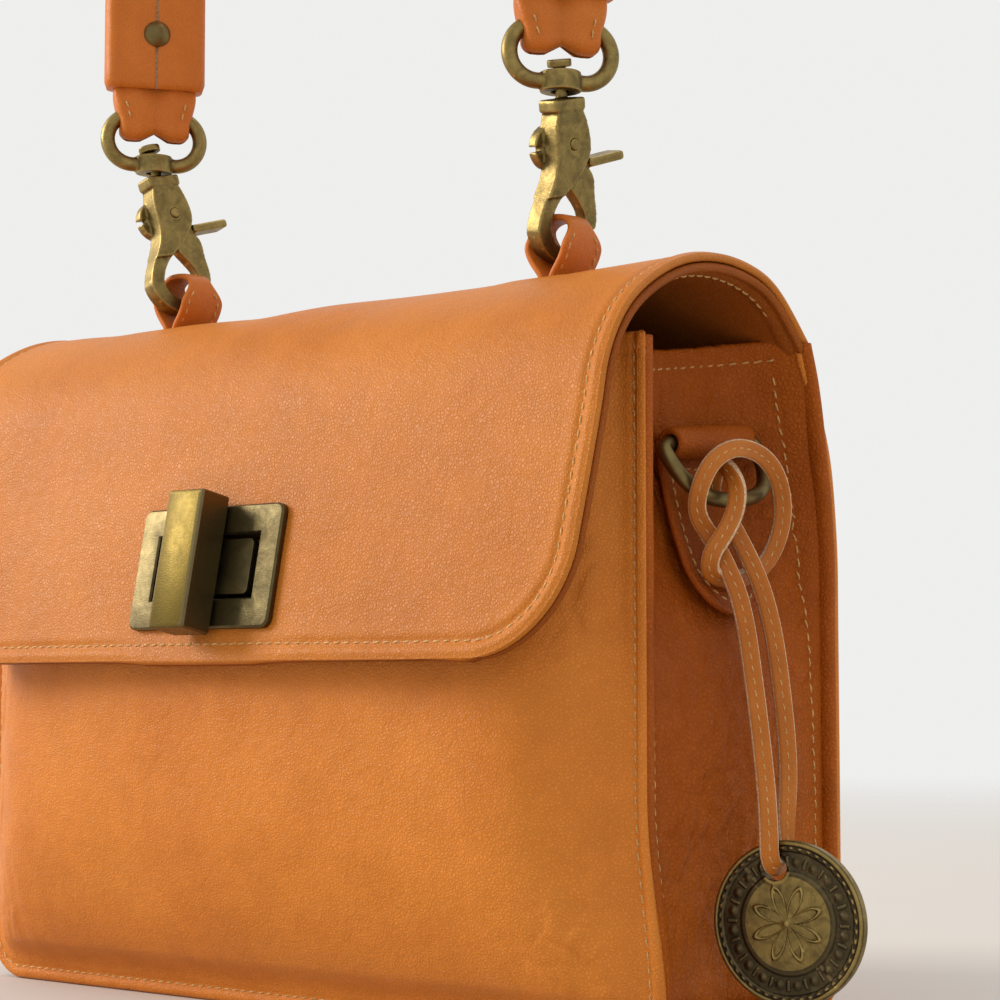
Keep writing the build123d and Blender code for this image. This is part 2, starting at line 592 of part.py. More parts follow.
def medallion():
    """Round metal disc with a raised rim, a sunk ring band and a hole near its edge."""
    disc = Cylinder(MEDALLION_R, MEDALLION_THICK)
    disc = chamfer(disc.edges().filter_by(GeomType.CIRCLE), 0.4)
    groove = Cylinder(MEDALLION_R - 2.6, 0.6) - Cylinder(MEDALLION_R - 7.6, 1)
    disc -= Pos(0, 0, MEDALLION_THICK / 2 - 0.1) * groove
    x, y, r = MEDALLION_HOLE
    disc -= Pos(x, y, 0) * Cylinder(r, 10)
    place = Plane(origin=MEDALLION_AT, x_dir=(cos(radians(MEDALLION_TURN)), sin(radians(MEDALLION_TURN)), 0),
                  z_dir=(sin(radians(MEDALLION_TURN)), -cos(radians(MEDALLION_TURN)), 0))
    return place * disc


# ---- build --------------------------------------------------------------------------
def main():
    os.makedirs("parts", exist_ok=True)
    lock = {name: ([lock_plane() * s for s in shape] if isinstance(shape, list) else lock_plane() * shape)
            for name, shape in lock_parts().items()}
    write("front_panel", front_panel() - lock["well"])
    write("back_panel", back_panel())
    write("front_lip", lip(FRONT_Y - 3, HEIGHT))
    write("back_lip", lip(BACK_Y - 4, BACK_HEIGHT - 4))
    write("base_panel", base_panel())
    write("base_board", base_board())
    write("lining", lining())
    write("inner_pocket", inner_pocket())
    write("lock_base", lock["base"])
    write("lock_base_backing", lock["base_backing"])
    write("turn_bar", lock["bar"])
    write("turn_bar_retainer", lock["retainer"])

    flap_outer = flap_sheet(0, FLAP_OUTER) - lock["cut"] - lock["bores"]
    write("flap_outer", flap_outer)
    write("flap_lining", flap_sheet(FLAP_OUTER + FLAP_LAYER_GAP, FLAP_TOTAL) - lock["cut"] - lock["bores"])
    write("lock_frame", lock["frame"] - lock["bores"])
    write("lock_frame_backing", lock["frame_backing"] - lock["bores"])
    write("lock_frame_screws", Compound(children=lock["screws"]))

    under_flap = yz_prism([(-60, 150), (-60, 178), (-46, 178), (30, 178), (30, 150)], 130)
    for side, name in ((1, "right"), (-1, "left")):
        write(f"gusset_{name}", gusset(side))
        write(f"loop_{name}", loop(side) - flap_sheet(0, FLAP_TOTAL + 20) - under_flap)
        place = hook_place(side)
        write(f"hook_{name}", place * hook_body())
        write(f"hook_pin_{name}", place * hook_pin())
        write(f"trigger_{name}", place * trigger())
        write(f"swivel_ring_{name}", ring_place(side) * swivel_ring())
        write(f"d_ring_{name}", d_ring(side))
        write(f"d_ring_patch_{name}", dring_patch(side))

    bores = Compound(children=[stud_bore(side) for side in (-1, 1)])
    write("strap", strap() - bores)
    write("handle_wrap", handle_wrap() - bores)
    write("wrap_studs", Compound(children=[wrap_stud(side) for side in (-1, 1)]))
    write("charm_lace", lace())
    write("medallion", medallion())


main()
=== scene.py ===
"""Looks for the leather sling bag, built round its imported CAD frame. Work is in millimetres."""

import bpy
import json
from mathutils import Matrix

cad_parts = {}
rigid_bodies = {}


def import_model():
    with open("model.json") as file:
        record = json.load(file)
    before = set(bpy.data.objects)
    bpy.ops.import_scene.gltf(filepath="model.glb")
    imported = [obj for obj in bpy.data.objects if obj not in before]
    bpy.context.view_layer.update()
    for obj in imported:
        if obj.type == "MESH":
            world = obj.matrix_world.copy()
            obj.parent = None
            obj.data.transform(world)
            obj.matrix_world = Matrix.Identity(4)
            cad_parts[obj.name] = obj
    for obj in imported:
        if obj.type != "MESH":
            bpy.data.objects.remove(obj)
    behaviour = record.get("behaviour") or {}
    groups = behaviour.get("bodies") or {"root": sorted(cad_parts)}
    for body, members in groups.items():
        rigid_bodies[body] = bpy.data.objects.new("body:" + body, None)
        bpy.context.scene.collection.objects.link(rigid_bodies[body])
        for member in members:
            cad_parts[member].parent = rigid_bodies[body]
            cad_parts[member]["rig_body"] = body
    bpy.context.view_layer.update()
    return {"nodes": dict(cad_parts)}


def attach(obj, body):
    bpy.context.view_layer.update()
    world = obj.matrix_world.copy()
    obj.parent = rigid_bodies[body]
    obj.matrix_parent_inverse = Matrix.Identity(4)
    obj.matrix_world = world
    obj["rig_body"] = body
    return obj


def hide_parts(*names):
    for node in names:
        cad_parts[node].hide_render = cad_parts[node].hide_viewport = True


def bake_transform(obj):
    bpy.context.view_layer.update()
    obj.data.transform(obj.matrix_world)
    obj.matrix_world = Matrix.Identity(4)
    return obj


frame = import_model()

import json
from math import atan2, cos, pi, radians, sin, sqrt

import bpy
import numpy as np
from mathutils import Matrix, Vector

MM = 0.001
V = lambda *p: np.array(p, float)


# ---- numbers shared with the CAD ------------------------------------------------------
HALF, FRONT_Y = 125.0, -38.0            # half width over the lips, front panel's inner face
CORNER = 14.0                           # radius of the outline's lower corners
GUSSET_X = 122.0
PIVOT_Y, PIVOT_Z = -10.5, 205.5
# per side: eye x, eye y, lean outwards, tilt to the front, own turn
HOOKS = {1: (71.3, -10.5, 7.4, 15.5, -9.0), -1: (-74.5, -13.0, 12.5, 10.0, -8.5)}
LOOPS = {1: 71.5, -1: -73.0}
TURN = radians(33.0)                    # of the strap ends about the upright
ARCH_START, WRAP_START = 142.0, 59.5    # heights over the hook's eye
LOCK_Z, LOCK_Y, LOCK_TILT = 116.0, -68.2043, radians(11.31)
RING_AT = V(111.0, -1.5, 147.0)         # middle of the right D-ring's bar
RING_TILT, RING_HALF, RING_DROP = radians(6), 19.5, 17.0
NAMES = {1: "right", -1: "left"}


# ---- small maths ----------------------------------------------------------------------
def unit(v):
    """Vectors scaled to length one."""
    v = np.asarray(v, float)
    return v / np.maximum(np.linalg.norm(v, axis=-1, keepdims=True), 1e-12)


def ease(x, low, high):
    """0 below low, 1 above high, smooth between."""
    t = np.clip((np.asarray(x, float) - low) / (high - low), 0, 1)
    return t * t * (3 - 2 * t)


def hump(x, middle, width):
    """A smooth bump of height one."""
    return np.exp(-((np.asarray(x, float) - middle) / width) ** 2)


def through(x, points):
    """A smooth curve through (place, value) points."""
    px = np.array([p[0] for p in points], float)
    py = np.array([p[1] for p in points], float)
    slope = np.gradient(py, px)
    x = np.clip(np.asarray(x, float), px[0], px[-1])
    i = np.clip(np.searchsorted(px, x, side="right") - 1, 0, len(px) - 2)
    h = px[i + 1] - px[i]
    t = (x - px[i]) / h
    return ((2 * t**3 - 3 * t**2 + 1) * py[i] + (t**3 - 2 * t**2 + t) * h * slope[i]
            + (3 * t**2 - 2 * t**3) * py[i + 1] + (t**3 - t**2) * h * slope[i + 1])


def spread(count, power):
    """Places from -1 to 1, closer together towards both ends."""
    k = np.linspace(-1, 1, count)
    return np.sign(k) * (1 - (1 - np.abs(k)) ** power)


def rounded(value, power):
    """A signed power, to square up or flatten a circle's sine or cosine."""
    return np.sign(value) * abs(value) ** power


LATTICE = np.random.default_rng(11).uniform(-1, 1, (32, 32, 32))


def lumps(x, y, z=0.0, size=20.0):
    """Smooth seeded noise between -1 and 1, with features of about a size in mm."""
    q = [np.asarray(a, float) / size + 7.3 * k for k, a in enumerate(np.broadcast_arrays(x, y, z))]
    cell = [np.floor(a).astype(int) for a in q]
    f = [a - c for a, c in zip(q, cell)]
    f = [t * t * (3 - 2 * t) for t in f]
    total = 0
    for dx in (0, 1):
        for dy in (0, 1):
            for dz in (0, 1):
                w = ((f[0] if dx else 1 - f[0]) * (f[1] if dy else 1 - f[1])
                     * (f[2] if dz else 1 - f[2]))
                corner = [(c + d) % 32 for c, d in zip(cell, (dx, dy, dz))]
                total = total + w * LATTICE[tuple(corner)]
    return total


def creases(x, y, size, stretch, angle, depth):
    """Long narrow valleys running at an angle, as in gathered leather."""
    c, s = cos(radians(angle)), sin(radians(angle))
    along, across = (x * c + y * s) / stretch, -x * s + y * c
    bend = lumps(x, y, 3.0, size * 3) * size * 0.8
    ridge = np.abs(lumps(along + bend * 0.2, across + bend, 9.0, size))
    fine = np.abs(lumps(along * 1.7 + 40, across + bend + 13, 5.0, size * 0.55))
    return -depth * (1 - ease(ridge, 0, 0.45)) - 0.45 * depth * (1 - ease(fine, 0, 0.4))


# ---- camera and stage -------------------------------------------------------------------
def set_camera():
    """Camera at the viewing angle: from the bag's front right, low, looking slightly up."""
    a, e = radians(40.58), radians(-4.29)
    back = V(sin(a) * cos(e), -cos(a) * cos(e), sin(e))
    right = V(cos(a), sin(a), 0)
    up = np.cross(back, right)
    data = bpy.data.cameras.new("camera")
    data.lens, data.sensor_width, data.clip_start = 90, 36, 0.01
    eye = bpy.data.objects.new("camera", data)
    bpy.context.scene.collection.objects.link(eye)
    m = Matrix.Identity(4)
    for row in range(3):
        m[row][0], m[row][1], m[row][2] = right[row], up[row], back[row]
    m.translation = Vector((479.57 * MM, -512.09 * MM, 85.2 * MM))
    eye.matrix_world = m
    bpy.context.scene.camera = eye


def area_light(name, place, aim, size, power, colour):
    """A soft square light."""
    data = bpy.data.lights.new(name, "AREA")
    data.shape, data.size, data.energy, data.color = "SQUARE", size, power, colour
    lamp = bpy.data.objects.new(name, data)
    bpy.context.scene.collection.objects.link(lamp)
    lamp.location = place
    lamp.rotation_euler = (Vector(aim) - Vector(place)).to_track_quat("-Z", "Y").to_euler()


# ---- materials ----------------------------------------------------------------------------
class Nodes:
    """Short helpers to write a node material."""

    def __init__(self, name):
        self.mat = bpy.data.materials.new(name)
        self.mat.use_nodes = True
        self.tree = self.mat.node_tree
        self.tree.nodes.clear()
        self.out = self.add("ShaderNodeOutputMaterial")
        self.shader = self.add("ShaderNodeBsdfPrincipled")
        self.link(self.shader, 0, self.out, 0)
        self.where = self.add("ShaderNodeTexCoord")

    def add(self, kind, **settings):
        node = self.tree.nodes.new(kind)
        for key, value in settings.items():
            if hasattr(node, key):
                setattr(node, key, value)
            else:
                node.inputs[key.replace("_", " ")].default_value = value
        return node

    def link(self, a, output, b, socket):
        self.tree.links.new(a.outputs[output], b.inputs[socket])

    def noise(self, scale, detail=2.0, rough=0.5, distort=0.0):
        node = self.add("ShaderNodeTexNoise", Scale=scale, Detail=detail, Roughness=rough, Distortion=distort)
        self.link(self.where, "Object", node, "Vector")
        return node

    def ramp(self, source, output, *stops):
        node = self.add("ShaderNodeValToRGB")
        node.color_ramp.elements[0].position, node.color_ramp.elements[1].position = stops[0][0], stops[-1][0]
        for place, _ in stops[1:-1]:
            node.color_ramp.elements.new(place)
        for element, (place, colour) in zip(node.color_ramp.elements, stops):
            element.color = (*colour, 1) if isinstance(colour, tuple) else (colour, colour, colour, 1)
        self.link(source, output, node, "Fac")
        return node

    def maths(self, operation, a, b, c=None):
        node = self.add("ShaderNodeMath", operation=operation)
        for k, v in enumerate((a, b) if c is None else (a, b, c)):
            if isinstance(v, tuple):
                self.link(v[0], v[1], node, k)
            else:
                node.inputs[k].default_value = v
        return (node, 0)

    def mix(self, factor, a, b, blend="MIX"):
        node = self.add("ShaderNodeMix", data_type="RGBA", blend_type=blend)
        for socket, v in ((0, factor), (6, a), (7, b)):
            if isinstance(v, tuple) and hasattr(v[0], "outputs"):
                self.link(v[0], v[1], node, socket)
            else:
                node.inputs[socket].default_value = (*v, 1) if isinstance(v, tuple) else v
        return (node, 2)

    def bump(self, height, strength, distance, after=None):
        node = self.add("ShaderNodeBump", Strength=strength, Distance=distance)
        self.link(height[0], height[1], node, "Height")
        if after:
            self.link(after, "Normal", node, "Normal")
        return node

    def finish(self, colour, rough, normal, **fixed):
        self.link(colour[0], colour[1], self.shader, "Base Color")
        if isinstance(rough, tuple):
            self.link(rough[0], rough[1], self.shader, "Roughness")
        else:
            self.shader.inputs["Roughness"].default_value = rough
        if normal:
            self.link(normal, "Normal", self.shader, "Normal")
        for key, value in fixed.items():
            self.shader.inputs[key.replace("_", " ")].default_value = value
        return self.mat


def leather(name, light, deep, grain=1.0, cell=1150, rough=0.5, specular=0.2):
    """Tan leather: mottled dye, fine pebble grain, darker in its valleys, worn patches."""
    n = Nodes(name)
    cloud = n.noise(14, 3, 0.55)
    mottle = n.noise(95, 4, 0.6)
    warp = n.noise(300, 2, 0.5)
    shift = n.add("ShaderNodeVectorMath", operation="MULTIPLY_ADD")
    n.link(warp, "Color", shift, 0)
    shift.inputs[1].default_value = (0.0012, 0.0012, 0.0012)
    n.link(n.where, "Object", shift, 2)
    cells = n.add("ShaderNodeTexVoronoi", feature="DISTANCE_TO_EDGE", Scale=cell)
    n.link(shift, 0, cells, "Vector")
    pebble = n.ramp(cells, "Distance", (0.0, 0.0), (0.28, 1.0))
    wide = n.noise(230, 3, 0.6, 0.4)
    tone = n.mix((n.ramp(cloud, "Fac", (0.33, 0.0), (0.68, 1.0)), 0), deep, light)
    tone = n.mix(n.maths("MULTIPLY", (n.ramp(mottle, "Fac", (0.4, 0.0), (0.75, 1.0)), 0), 0.32), tone,
                 tuple(min(1, c * 1.22 + 0.01) for c in light))
    dark = tuple(c * 0.55 for c in deep)
    tone = n.mix(n.maths("MULTIPLY_ADD", (pebble, 0), -0.3, 0.3), tone, dark)
    sheen = n.maths("MULTIPLY_ADD", (mottle, 0), 0.2, rough - 0.1)
    sheen = n.maths("MULTIPLY_ADD", (pebble, 0), -0.08, sheen)
    soft = n.bump((wide, 0), 0.5 * grain, 0.0008)
    fine = n.bump((pebble, 0), 0.6 * grain, 0.00016, soft)
    return n.finish(tone, sheen, fine, Specular_IOR_Level=specular)


def raw_edge(name):
    """Pale cut edge of leather, with fibres."""
    n = Nodes(name)
    fibre = n.noise(1500, 3, 0.6)
    tone = n.mix((n.ramp(fibre, "Fac", (0.35, 0.0), (0.7, 1.0)), 0), (0.42, 0.22, 0.10), (0.80, 0.60, 0.40))
    return n.finish(tone, 0.8, n.bump((fibre, 0), 0.5, 0.0002))


def antique_brass(name, bright=(0.23, 0.165, 0.055), patina=(0.045, 0.034, 0.016), cover=0.5):
    """Aged brass: brown patina in hollows, brushed and rubbed bright on edges."""
    n = Nodes(name)
    shape = n.add("ShaderNodeNewGeometry")
    worn = n.ramp(shape, "Pointiness", (0.47, 0.0), (0.56, 1.0))
    blotch = n.noise(260, 6, 0.7, 0.6)
    speck = n.noise(1900, 3, 0.6)
    brush = n.add("ShaderNodeMapping")
    n.link(n.where, "Object", brush, "Vector")
    brush.inputs["Scale"].default_value = (900, 900, 5200)
    lines = n.add("ShaderNodeTexNoise", Scale=1.0, Detail=3.0)
    n.link(brush, 0, lines, "Vector")
    base = n.mix((n.ramp(blotch, "Fac", (cover - 0.14, 0.0), (cover + 0.12, 1.0)), 0), patina, bright)
    base = n.mix(n.maths("MULTIPLY", (n.ramp(speck, "Fac", (0.5, 0.0), (0.72, 1.0)), 0), 0.5), base, patina)
    base = n.mix(n.maths("MULTIPLY", (worn, 0), 0.75), base, tuple(min(1, c * 2.1) for c in bright))
    rough = n.maths("MULTIPLY_ADD", (blotch, 0), -0.3, 0.58)
    lift = n.bump((lines, 0), 0.3, 0.00012)
    lift = n.bump((speck, 0), 0.2, 0.00007, lift)
    return n.finish(base, rough, lift, Metallic=1.0)


def thread(name):
    """Twisted pale gold thread."""
    n = Nodes(name)
    twist = n.noise(2600, 2, 0.5)
    tone = n.mix((n.ramp(twist, "Fac", (0.35, 0.0), (0.7, 1.0)), 0), (0.40, 0.19, 0.045), (0.80, 0.49, 0.18))
    return n.finish(tone, 0.62, n.bump((twist, 0), 0.6, 0.0002))


def cloth(name):
    """Plain woven cotton."""
    n = Nodes(name)
    weave = None
    for direction in ("X", "Z"):
        wave = n.add("ShaderNodeTexWave", wave_type="BANDS", bands_direction=direction, Scale=420.0,
                     Distortion=0.6)
        n.link(n.where, "Object", wave, "Vector")
        weave = (wave, 1) if weave is None else n.maths("MAXIMUM", weave, (wave, 1))
    tone = n.mix(weave, (0.16, 0.10, 0.06), (0.34, 0.23, 0.14))
    return n.finish(tone, 0.85, n.bump(weave, 0.4, 0.0002))


def studio(name, colour):
    """Pale matt paper for the floor."""
    n = Nodes(name)
    grain = n.noise(6, 3, 0.5)
    tone = n.mix((grain, 0), tuple(c * 0.97 for c in colour), colour)
    n.finish(tone, 0.9, None, Specular_IOR_Level=0.1)
    # the paper fades into the pale surroundings away from the bag
    reach = n.add("ShaderNodeVectorMath", operation="LENGTH")
    n.link(n.where, "Object", reach, 0)
    fade = n.add("ShaderNodeMapRange", interpolation_type="SMOOTHSTEP")
    fade.inputs["From Min"].default_value, fade.inputs["From Max"].default_value = 0.35, 1.9
    n.link(reach, "Value", fade, "Value")
    clear, blend = n.add("ShaderNodeBsdfTransparent"), n.add("ShaderNodeMixShader")
    n.link(fade, "Result", blend, 0)
    n.link(n.shader, 0, blend, 1)
    n.link(clear, 0, blend, 2)
    n.link(blend, 0, n.out, 0)
    return n.mat


BODY = leather("body_leather", (0.70, 0.230, 0.028), (0.58, 0.168, 0.016))
FLAP = leather("flap_leather", (0.585, 0.190, 0.020), (0.49, 0.145, 0.012), grain=0.8)
SIDE = leather("side_leather", (0.44, 0.105, 0.008), (0.31, 0.062, 0.004), grain=1.3, cell=850,
               specular=0.1)
STRAP = leather("strap_leather", (0.61, 0.175, 0.022), (0.51, 0.128, 0.013), grain=0.45, cell=1600,
                rough=0.44)
LACE = leather("lace_leather", (0.56, 0.180, 0.022), (0.44, 0.122, 0.012), grain=0.3, cell=1800, rough=0.44)
# the lining leather's own red-brown, darkened further as painted shade for the dim space under the flap
LINING_WITH_PAINTED_SHADE = leather("lining_leather_painted_shade", (0.36, 0.095, 0.012), (0.26, 0.060, 0.007), grain=0.9, specular=0.1)
EDGE = raw_edge("raw_edge")
BRASS = antique_brass("antique_brass")
BRASS_DARK = antique_brass("antique_brass_dark", (0.15, 0.11, 0.040), (0.028, 0.022, 0.012), 0.54)
PATINA = antique_brass("patina", (0.10, 0.075, 0.035), (0.02, 0.017, 0.012), 0.62)
BAR = antique_brass("bar_brass", (0.075, 0.052, 0.0105), (0.038, 0.027, 0.008), 0.5)
# the plate brass also dresses the turn bar's sides, where its darker patina stands in as painted shade
PLATE = antique_brass("plate_brass", (0.088, 0.068, 0.030), (0.026, 0.020, 0.010), 0.52)
THREAD = thread("thread")
CLOTH = cloth("lining_cloth")


# ---- mesh tools ---------------------------------------------------------------------------
def add_mesh(name, verts, faces, materials, body, slot, nodes=(), face_material=None):
    """A smooth-shaded mesh piece, from millimetres, riding on a CAD body, or left unattached when the body is given
    as a tuple.
    """
    data = bpy.data.meshes.new(name)
    data.from_pydata([tuple(float(c) * MM for c in v) for v in verts], [],
                     [tuple(map(int, f)) for f in faces])
    data.validate()
    for m in materials if isinstance(materials, (list, tuple)) else [materials]:
        data.materials.append(m)
    data.polygons.foreach_set("use_smooth", [True] * len(data.polygons))
    if face_material is not None:
        data.polygons.foreach_set("material_index", list(map(int, face_material)))
    obj = bpy.data.objects.new(name, data)
    bpy.context.scene.collection.objects.link(obj)
    if isinstance(body, tuple):
        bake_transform(obj)
    else:
        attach(obj, body)
    if nodes:
        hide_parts(*nodes)
    return obj


def grid_normals(p, flip=1):
    """Normals of a grid of points."""
    du, dv = np.gradient(p, axis=0), np.gradient(p, axis=1)
    return unit(np.cross(du, dv)) * flip


def shell(p, thick, flip=1, skip=None, roll=0.35):
    """Verts and faces of a sheet with rounded edges: p is a grid of its outer points."""
    nu, nv = p.shape[:2]
    n = grid_normals(p, flip)
    inner = p - n * thick
    verts = [p.reshape(-1, 3), inner.reshape(-1, 3)]
    faces, size = [], nu * nv
    at = lambda i, j: i * nv + j
    for i in range(nu - 1):
        for j in range(nv - 1):
            if skip is not None and skip[i, j]:
                continue
            q = (at(i, j), at(i + 1, j), at(i + 1, j + 1), at(i, j + 1))
            q = q if flip > 0 else q[::-1]
            faces.append(q)
            faces.append(tuple(k + size for k in reversed(q)))
    rim = ([(i, 0) for i in range(nu)] + [(nu - 1, j) for j in range(1, nv)]
           + [(i, nv - 1) for i in range(nu - 2, -1, -1)] + [(0, j) for j in range(nv - 2, 0, -1)])
    centre_out = []
    for i, j in rim:
        ii = 1 if i == 0 else (nu - 2 if i == nu - 1 else i)
        jj = 1 if j == 0 else (nv - 2 if j == nv - 1 else j)
        centre_out.append(unit(p[i, j] - p[ii, jj]))
    ring = [p[i, j] - n[i, j] * thick / 2 + o * thick * roll for (i, j), o in zip(rim, centre_out)]
    verts.append(np.array(ring))
    count = len(rim)
    for k in range(count):
        a, b = rim[k], rim[(k + 1) % count]
        va, vb = at(*a), at(*b)
        ma, mb = 2 * size + k, 2 * size + (k + 1) % count
        q1, q2 = (va, ma, mb, vb), (ma, va + size, vb + size, mb)
        faces += [q1, q2] if flip > 0 else [q1[::-1], q2[::-1]]
    return np.concatenate(verts), faces


def sweep(points, across, up, section, closed_ends=True):
    """Verts and faces of a section carried along points; section is (across, up) pairs."""
    rings, count = len(points), len(section)
    verts = [points[i] + across[i] * a + up[i] * b for i in range(rings) for a, b in
             (section[i] if isinstance(section[0], list) else section)]
    if isinstance(section[0], list):
        count = len(section[0])
    faces = []
    for i in range(rings - 1):
        for k in range(count):
            a, b = i * count + k, i * count + (k + 1) % count
            faces.append((a, b, b + count, a + count))
    if closed_ends:
        faces.append(tuple(range(count))[::-1])
        faces.append(tuple(range((rings - 1) * count, rings * count)))
    return verts, faces


def joined(*parts):
    """Several (verts, faces) made one."""
    verts, faces = [], []
    for v, f in parts:
        start = len(verts)
        verts += list(v)
        faces += [tuple(k + start for k in q) for q in f]
    return verts, faces


def stitches(path, normals, pitch=3.3, length=2.5, radius=0.28, lift=0.1, slant=7.0):
    """Thread stitches along a path of points, each dipping into the leather at its ends."""
    path, normals = np.asarray(path, float), unit(normals)
    run = np.concatenate([[0], np.cumsum(np.linalg.norm(np.diff(path, axis=0), axis=1))])
    verts, faces = [], []
    for k in range(int(run[-1] / pitch)):
        middle = (k + 0.5) * pitch
        p, n = [np.array([np.interp(middle, run, a[:, c]) for c in range(3)]) for a in (path, normals)]
        ahead = np.array([np.interp(middle + 0.6, run, path[:, c]) for c in range(3)])
        t = unit(ahead - p)
        side = unit(np.cross(n, t))
        t = unit(t + side * sin(radians(slant)))
        side = unit(np.cross(n, t))
        start = len(verts)
        for s in (-1.0, -0.82, -0.35, 0.35, 0.82, 1.0):
            r = radius * sqrt(max(0.02, 1 - s**6))
            drop = lift - 0.34 * abs(s) ** 3
            for m in range(6):
                a = m * pi / 3
                verts.append(p + t * s * length / 2 + n * (drop + r * sin(a)) + side * r * cos(a))
        for i in range(5):
            for m in range(6):
                a, b = start + i * 6 + m, start + i * 6 + (m + 1) % 6
                faces.append((a, b, b + 6, a + 6))
    return verts, faces


# ---- body shapes --------------------------------------------------------------------------
def outline_half(z, inset=0.0):
    """Half width of the bag's outline at a height, for an inset from its outside."""
    radius = CORNER - inset
    rise = np.clip(radius - (np.asarray(z, float) - inset), 0, radius)
    return HALF - inset - radius + np.sqrt(np.maximum(radius**2 - rise**2, 0))


def edge_distance(x, z):
    """How far inside the outline a place is, for the U of both sides and the bottom."""
    x, z = np.abs(x), np.asarray(z, float)
    side, low = HALF - x, z
    round_it = (side < CORNER) & (low < CORNER)
    return np.where(round_it, CORNER - np.hypot(CORNER - side, CORNER - low), np.minimum(side, low))


def front_y(x, z):
    """Front skin: a rolled edge, a stitched valley, then the pillowed panel."""
    e = edge_distance(x, z)
    rise = through(z, ((0, 0), (6, 3.0), (14, 9.2), (42, 21.5), (78, 26), (118, 22.8), (145, 15.5), (170, 7)))
    wide = through(np.abs(x), ((0, 26.0), (60, 24.5), (98, 17), (112, 7.4), (120, 0)))
    k = 0.28
    bulge = -np.log(np.exp(-k * rise) + np.exp(-k * wide)) / k
    bulge = np.maximum(bulge, 0) * ease(e, 3.4, 13)
    y = FRONT_Y - 1.9 - bulge
    y += 1.9 * (1 - np.sqrt(np.clip(1 - (1 - np.clip(e / 2.4, 0, 1)) ** 2, 0, 1)))
    y += 0.7 * hump(e, 3.7, 0.9)
    soft = ease(e, 9, 28)
    y += soft * (lumps(x, z, 0, 55) * 1.0 + lumps(x, z, 4, 23) * 0.35)
    return y


def settle(p):
    """The soft bag leans in a little along its right front edge."""
    p = np.array(p, float)
    lean = 5.8 * (1 - ease(p[..., 1], -32, 6)) - 1.4 * (1 - ease(p[..., 1], -39.2, -38.2))
    p[..., 0] -= lean * ease(p[..., 0], 92, 121) * ease(p[..., 2], 6, 60)
    return p


def slump(z):
    """How far the soft back leans forward towards its top."""
    return 4.0 * ease(z, 112, 173)


# heights of the first rows of a panel's grid, close together over its turned edge
EDGE_ROWS = [0, 0.35, 0.8, 1.4, 2.1, 2.9, 3.8, 4.7, 5.6, 6.4, 7.3, 8.4]


def front_skin():
    """The front panel as one soft sheet with its turned edges, hem and creases."""
    z = np.concatenate([EDGE_ROWS, np.linspace(9.6, 166.5, 230), [167.6, 168.6, 169.4, 170.0]])
    x = outline_half(z)[None, :] * spread(300, 1.35)[:, None]
    zz = np.broadcast_to(z[None, :], x.shape).copy()
    y = front_y(x, zz)
    # creases beside both lips and in the lower right corner
    near = ease(edge_distance(x, zz), 6, 14)
    beside = hump(x, 112, 9) * ease(zz, 8, 30) * (1 - 0.4 * ease(zz, 120, 165)) * near
    low = hump(x, 106, 16) * hump(zz, 22, 15) * near
    left = hump(x, -108, 12) * near
    y -= (creases(x, zz, 4.2, 3.0, 68, 0.55) * beside
          + creases(x, zz, 4.6, 3.0, -38, 0.7) * low + creases(x, zz, 5.0, 3.0, 80, 0.5) * left)
    y += 0.4 * hump(zz, 165.5, 0.9) - 0.25 * hump(zz, 168, 1.3)
    p = settle(np.stack([x, y, zz], -1))
    verts, faces = shell(p, 1.9, flip=1)
    add_mesh("front_skin", verts, faces, BODY, "bag", "leather_body", ("front_panel",))


def u_path(inset, y, top):
    """Points round the U outline from the right top, under the base, to the left top."""
    radius, half = CORNER - inset, HALF - inset
    down = [V(half, y, z) for z in np.linspace(top, CORNER, 90)]
    turn = [(half - radius + radius * cos(a), CORNER - radius * sin(a)) for a in np.linspace(0, pi / 2, 16)]
    right = down + [V(x, y, z) for x, z in turn[1:]]
    under = [V(x, y, inset) for x in np.linspace(half - radius, -(half - radius), 150)[1:-1]]
    return np.array(right + under + [p * V(-1, 1, 1) for p in reversed(right)])


def side_roll(name, node, y0, y1, top):
    """The side wall's turned edge beside a panel's edge, along the whole U."""
    path = u_path(2.6, (y0 + y1) / 2, top)
    out = unit(np.gradient(path, axis=0))
    out = np.stack([-out[:, 2], 0 * out[:, 0], out[:, 0]], -1)
    out *= np.sign(out[0, 0])
    depth = (y1 - y0) / 2
    section = [(2.6 * rounded(cos(a), 0.9), depth * rounded(sin(a), 0.9))
               for a in np.linspace(0, 2 * pi, 19)[:-1]]
    wob = 0.18 * lumps(path[:, 0], path[:, 2], y0, 17)
    path = path + out * wob[:, None]
    if y0 > 0:
        path[:, 1] += back_y(path[:, 2]) - 37 - slump(path[:, 2]) + 1.4 * ease(path[:, 2], 140, 172)
    path = settle(path)
    back = np.tile(V(0, 1, 0), (len(path), 1))
    verts, faces = sweep(path, out, back, section)
    return add_mesh(name, verts, faces, SIDE, "bag", "leather_body", (node,))


def side_pinch(z):
    """How far the side wall is drawn in at mid depth."""
    return through(z, ((0, 0.2), (12, 0.5), (30, -0.6), (68, -1.6), (104, 4), (128, 13), (150, 17.5),
                       (175, 18.7)))


def side_x(y, z):
    """The right side wall's outer face."""
    q = 1 - np.abs((np.asarray(y, float) + 1) / 34.0) ** 3.84
    return GUSSET_X - side_pinch(z) * np.clip(q, 0, 1)


def side_top(y):
    """The side wall's top edge rises to the back."""
    return 166.6 + 7.2 * np.clip((np.asarray(y, float) + 35) / 62, 0, 1.05)


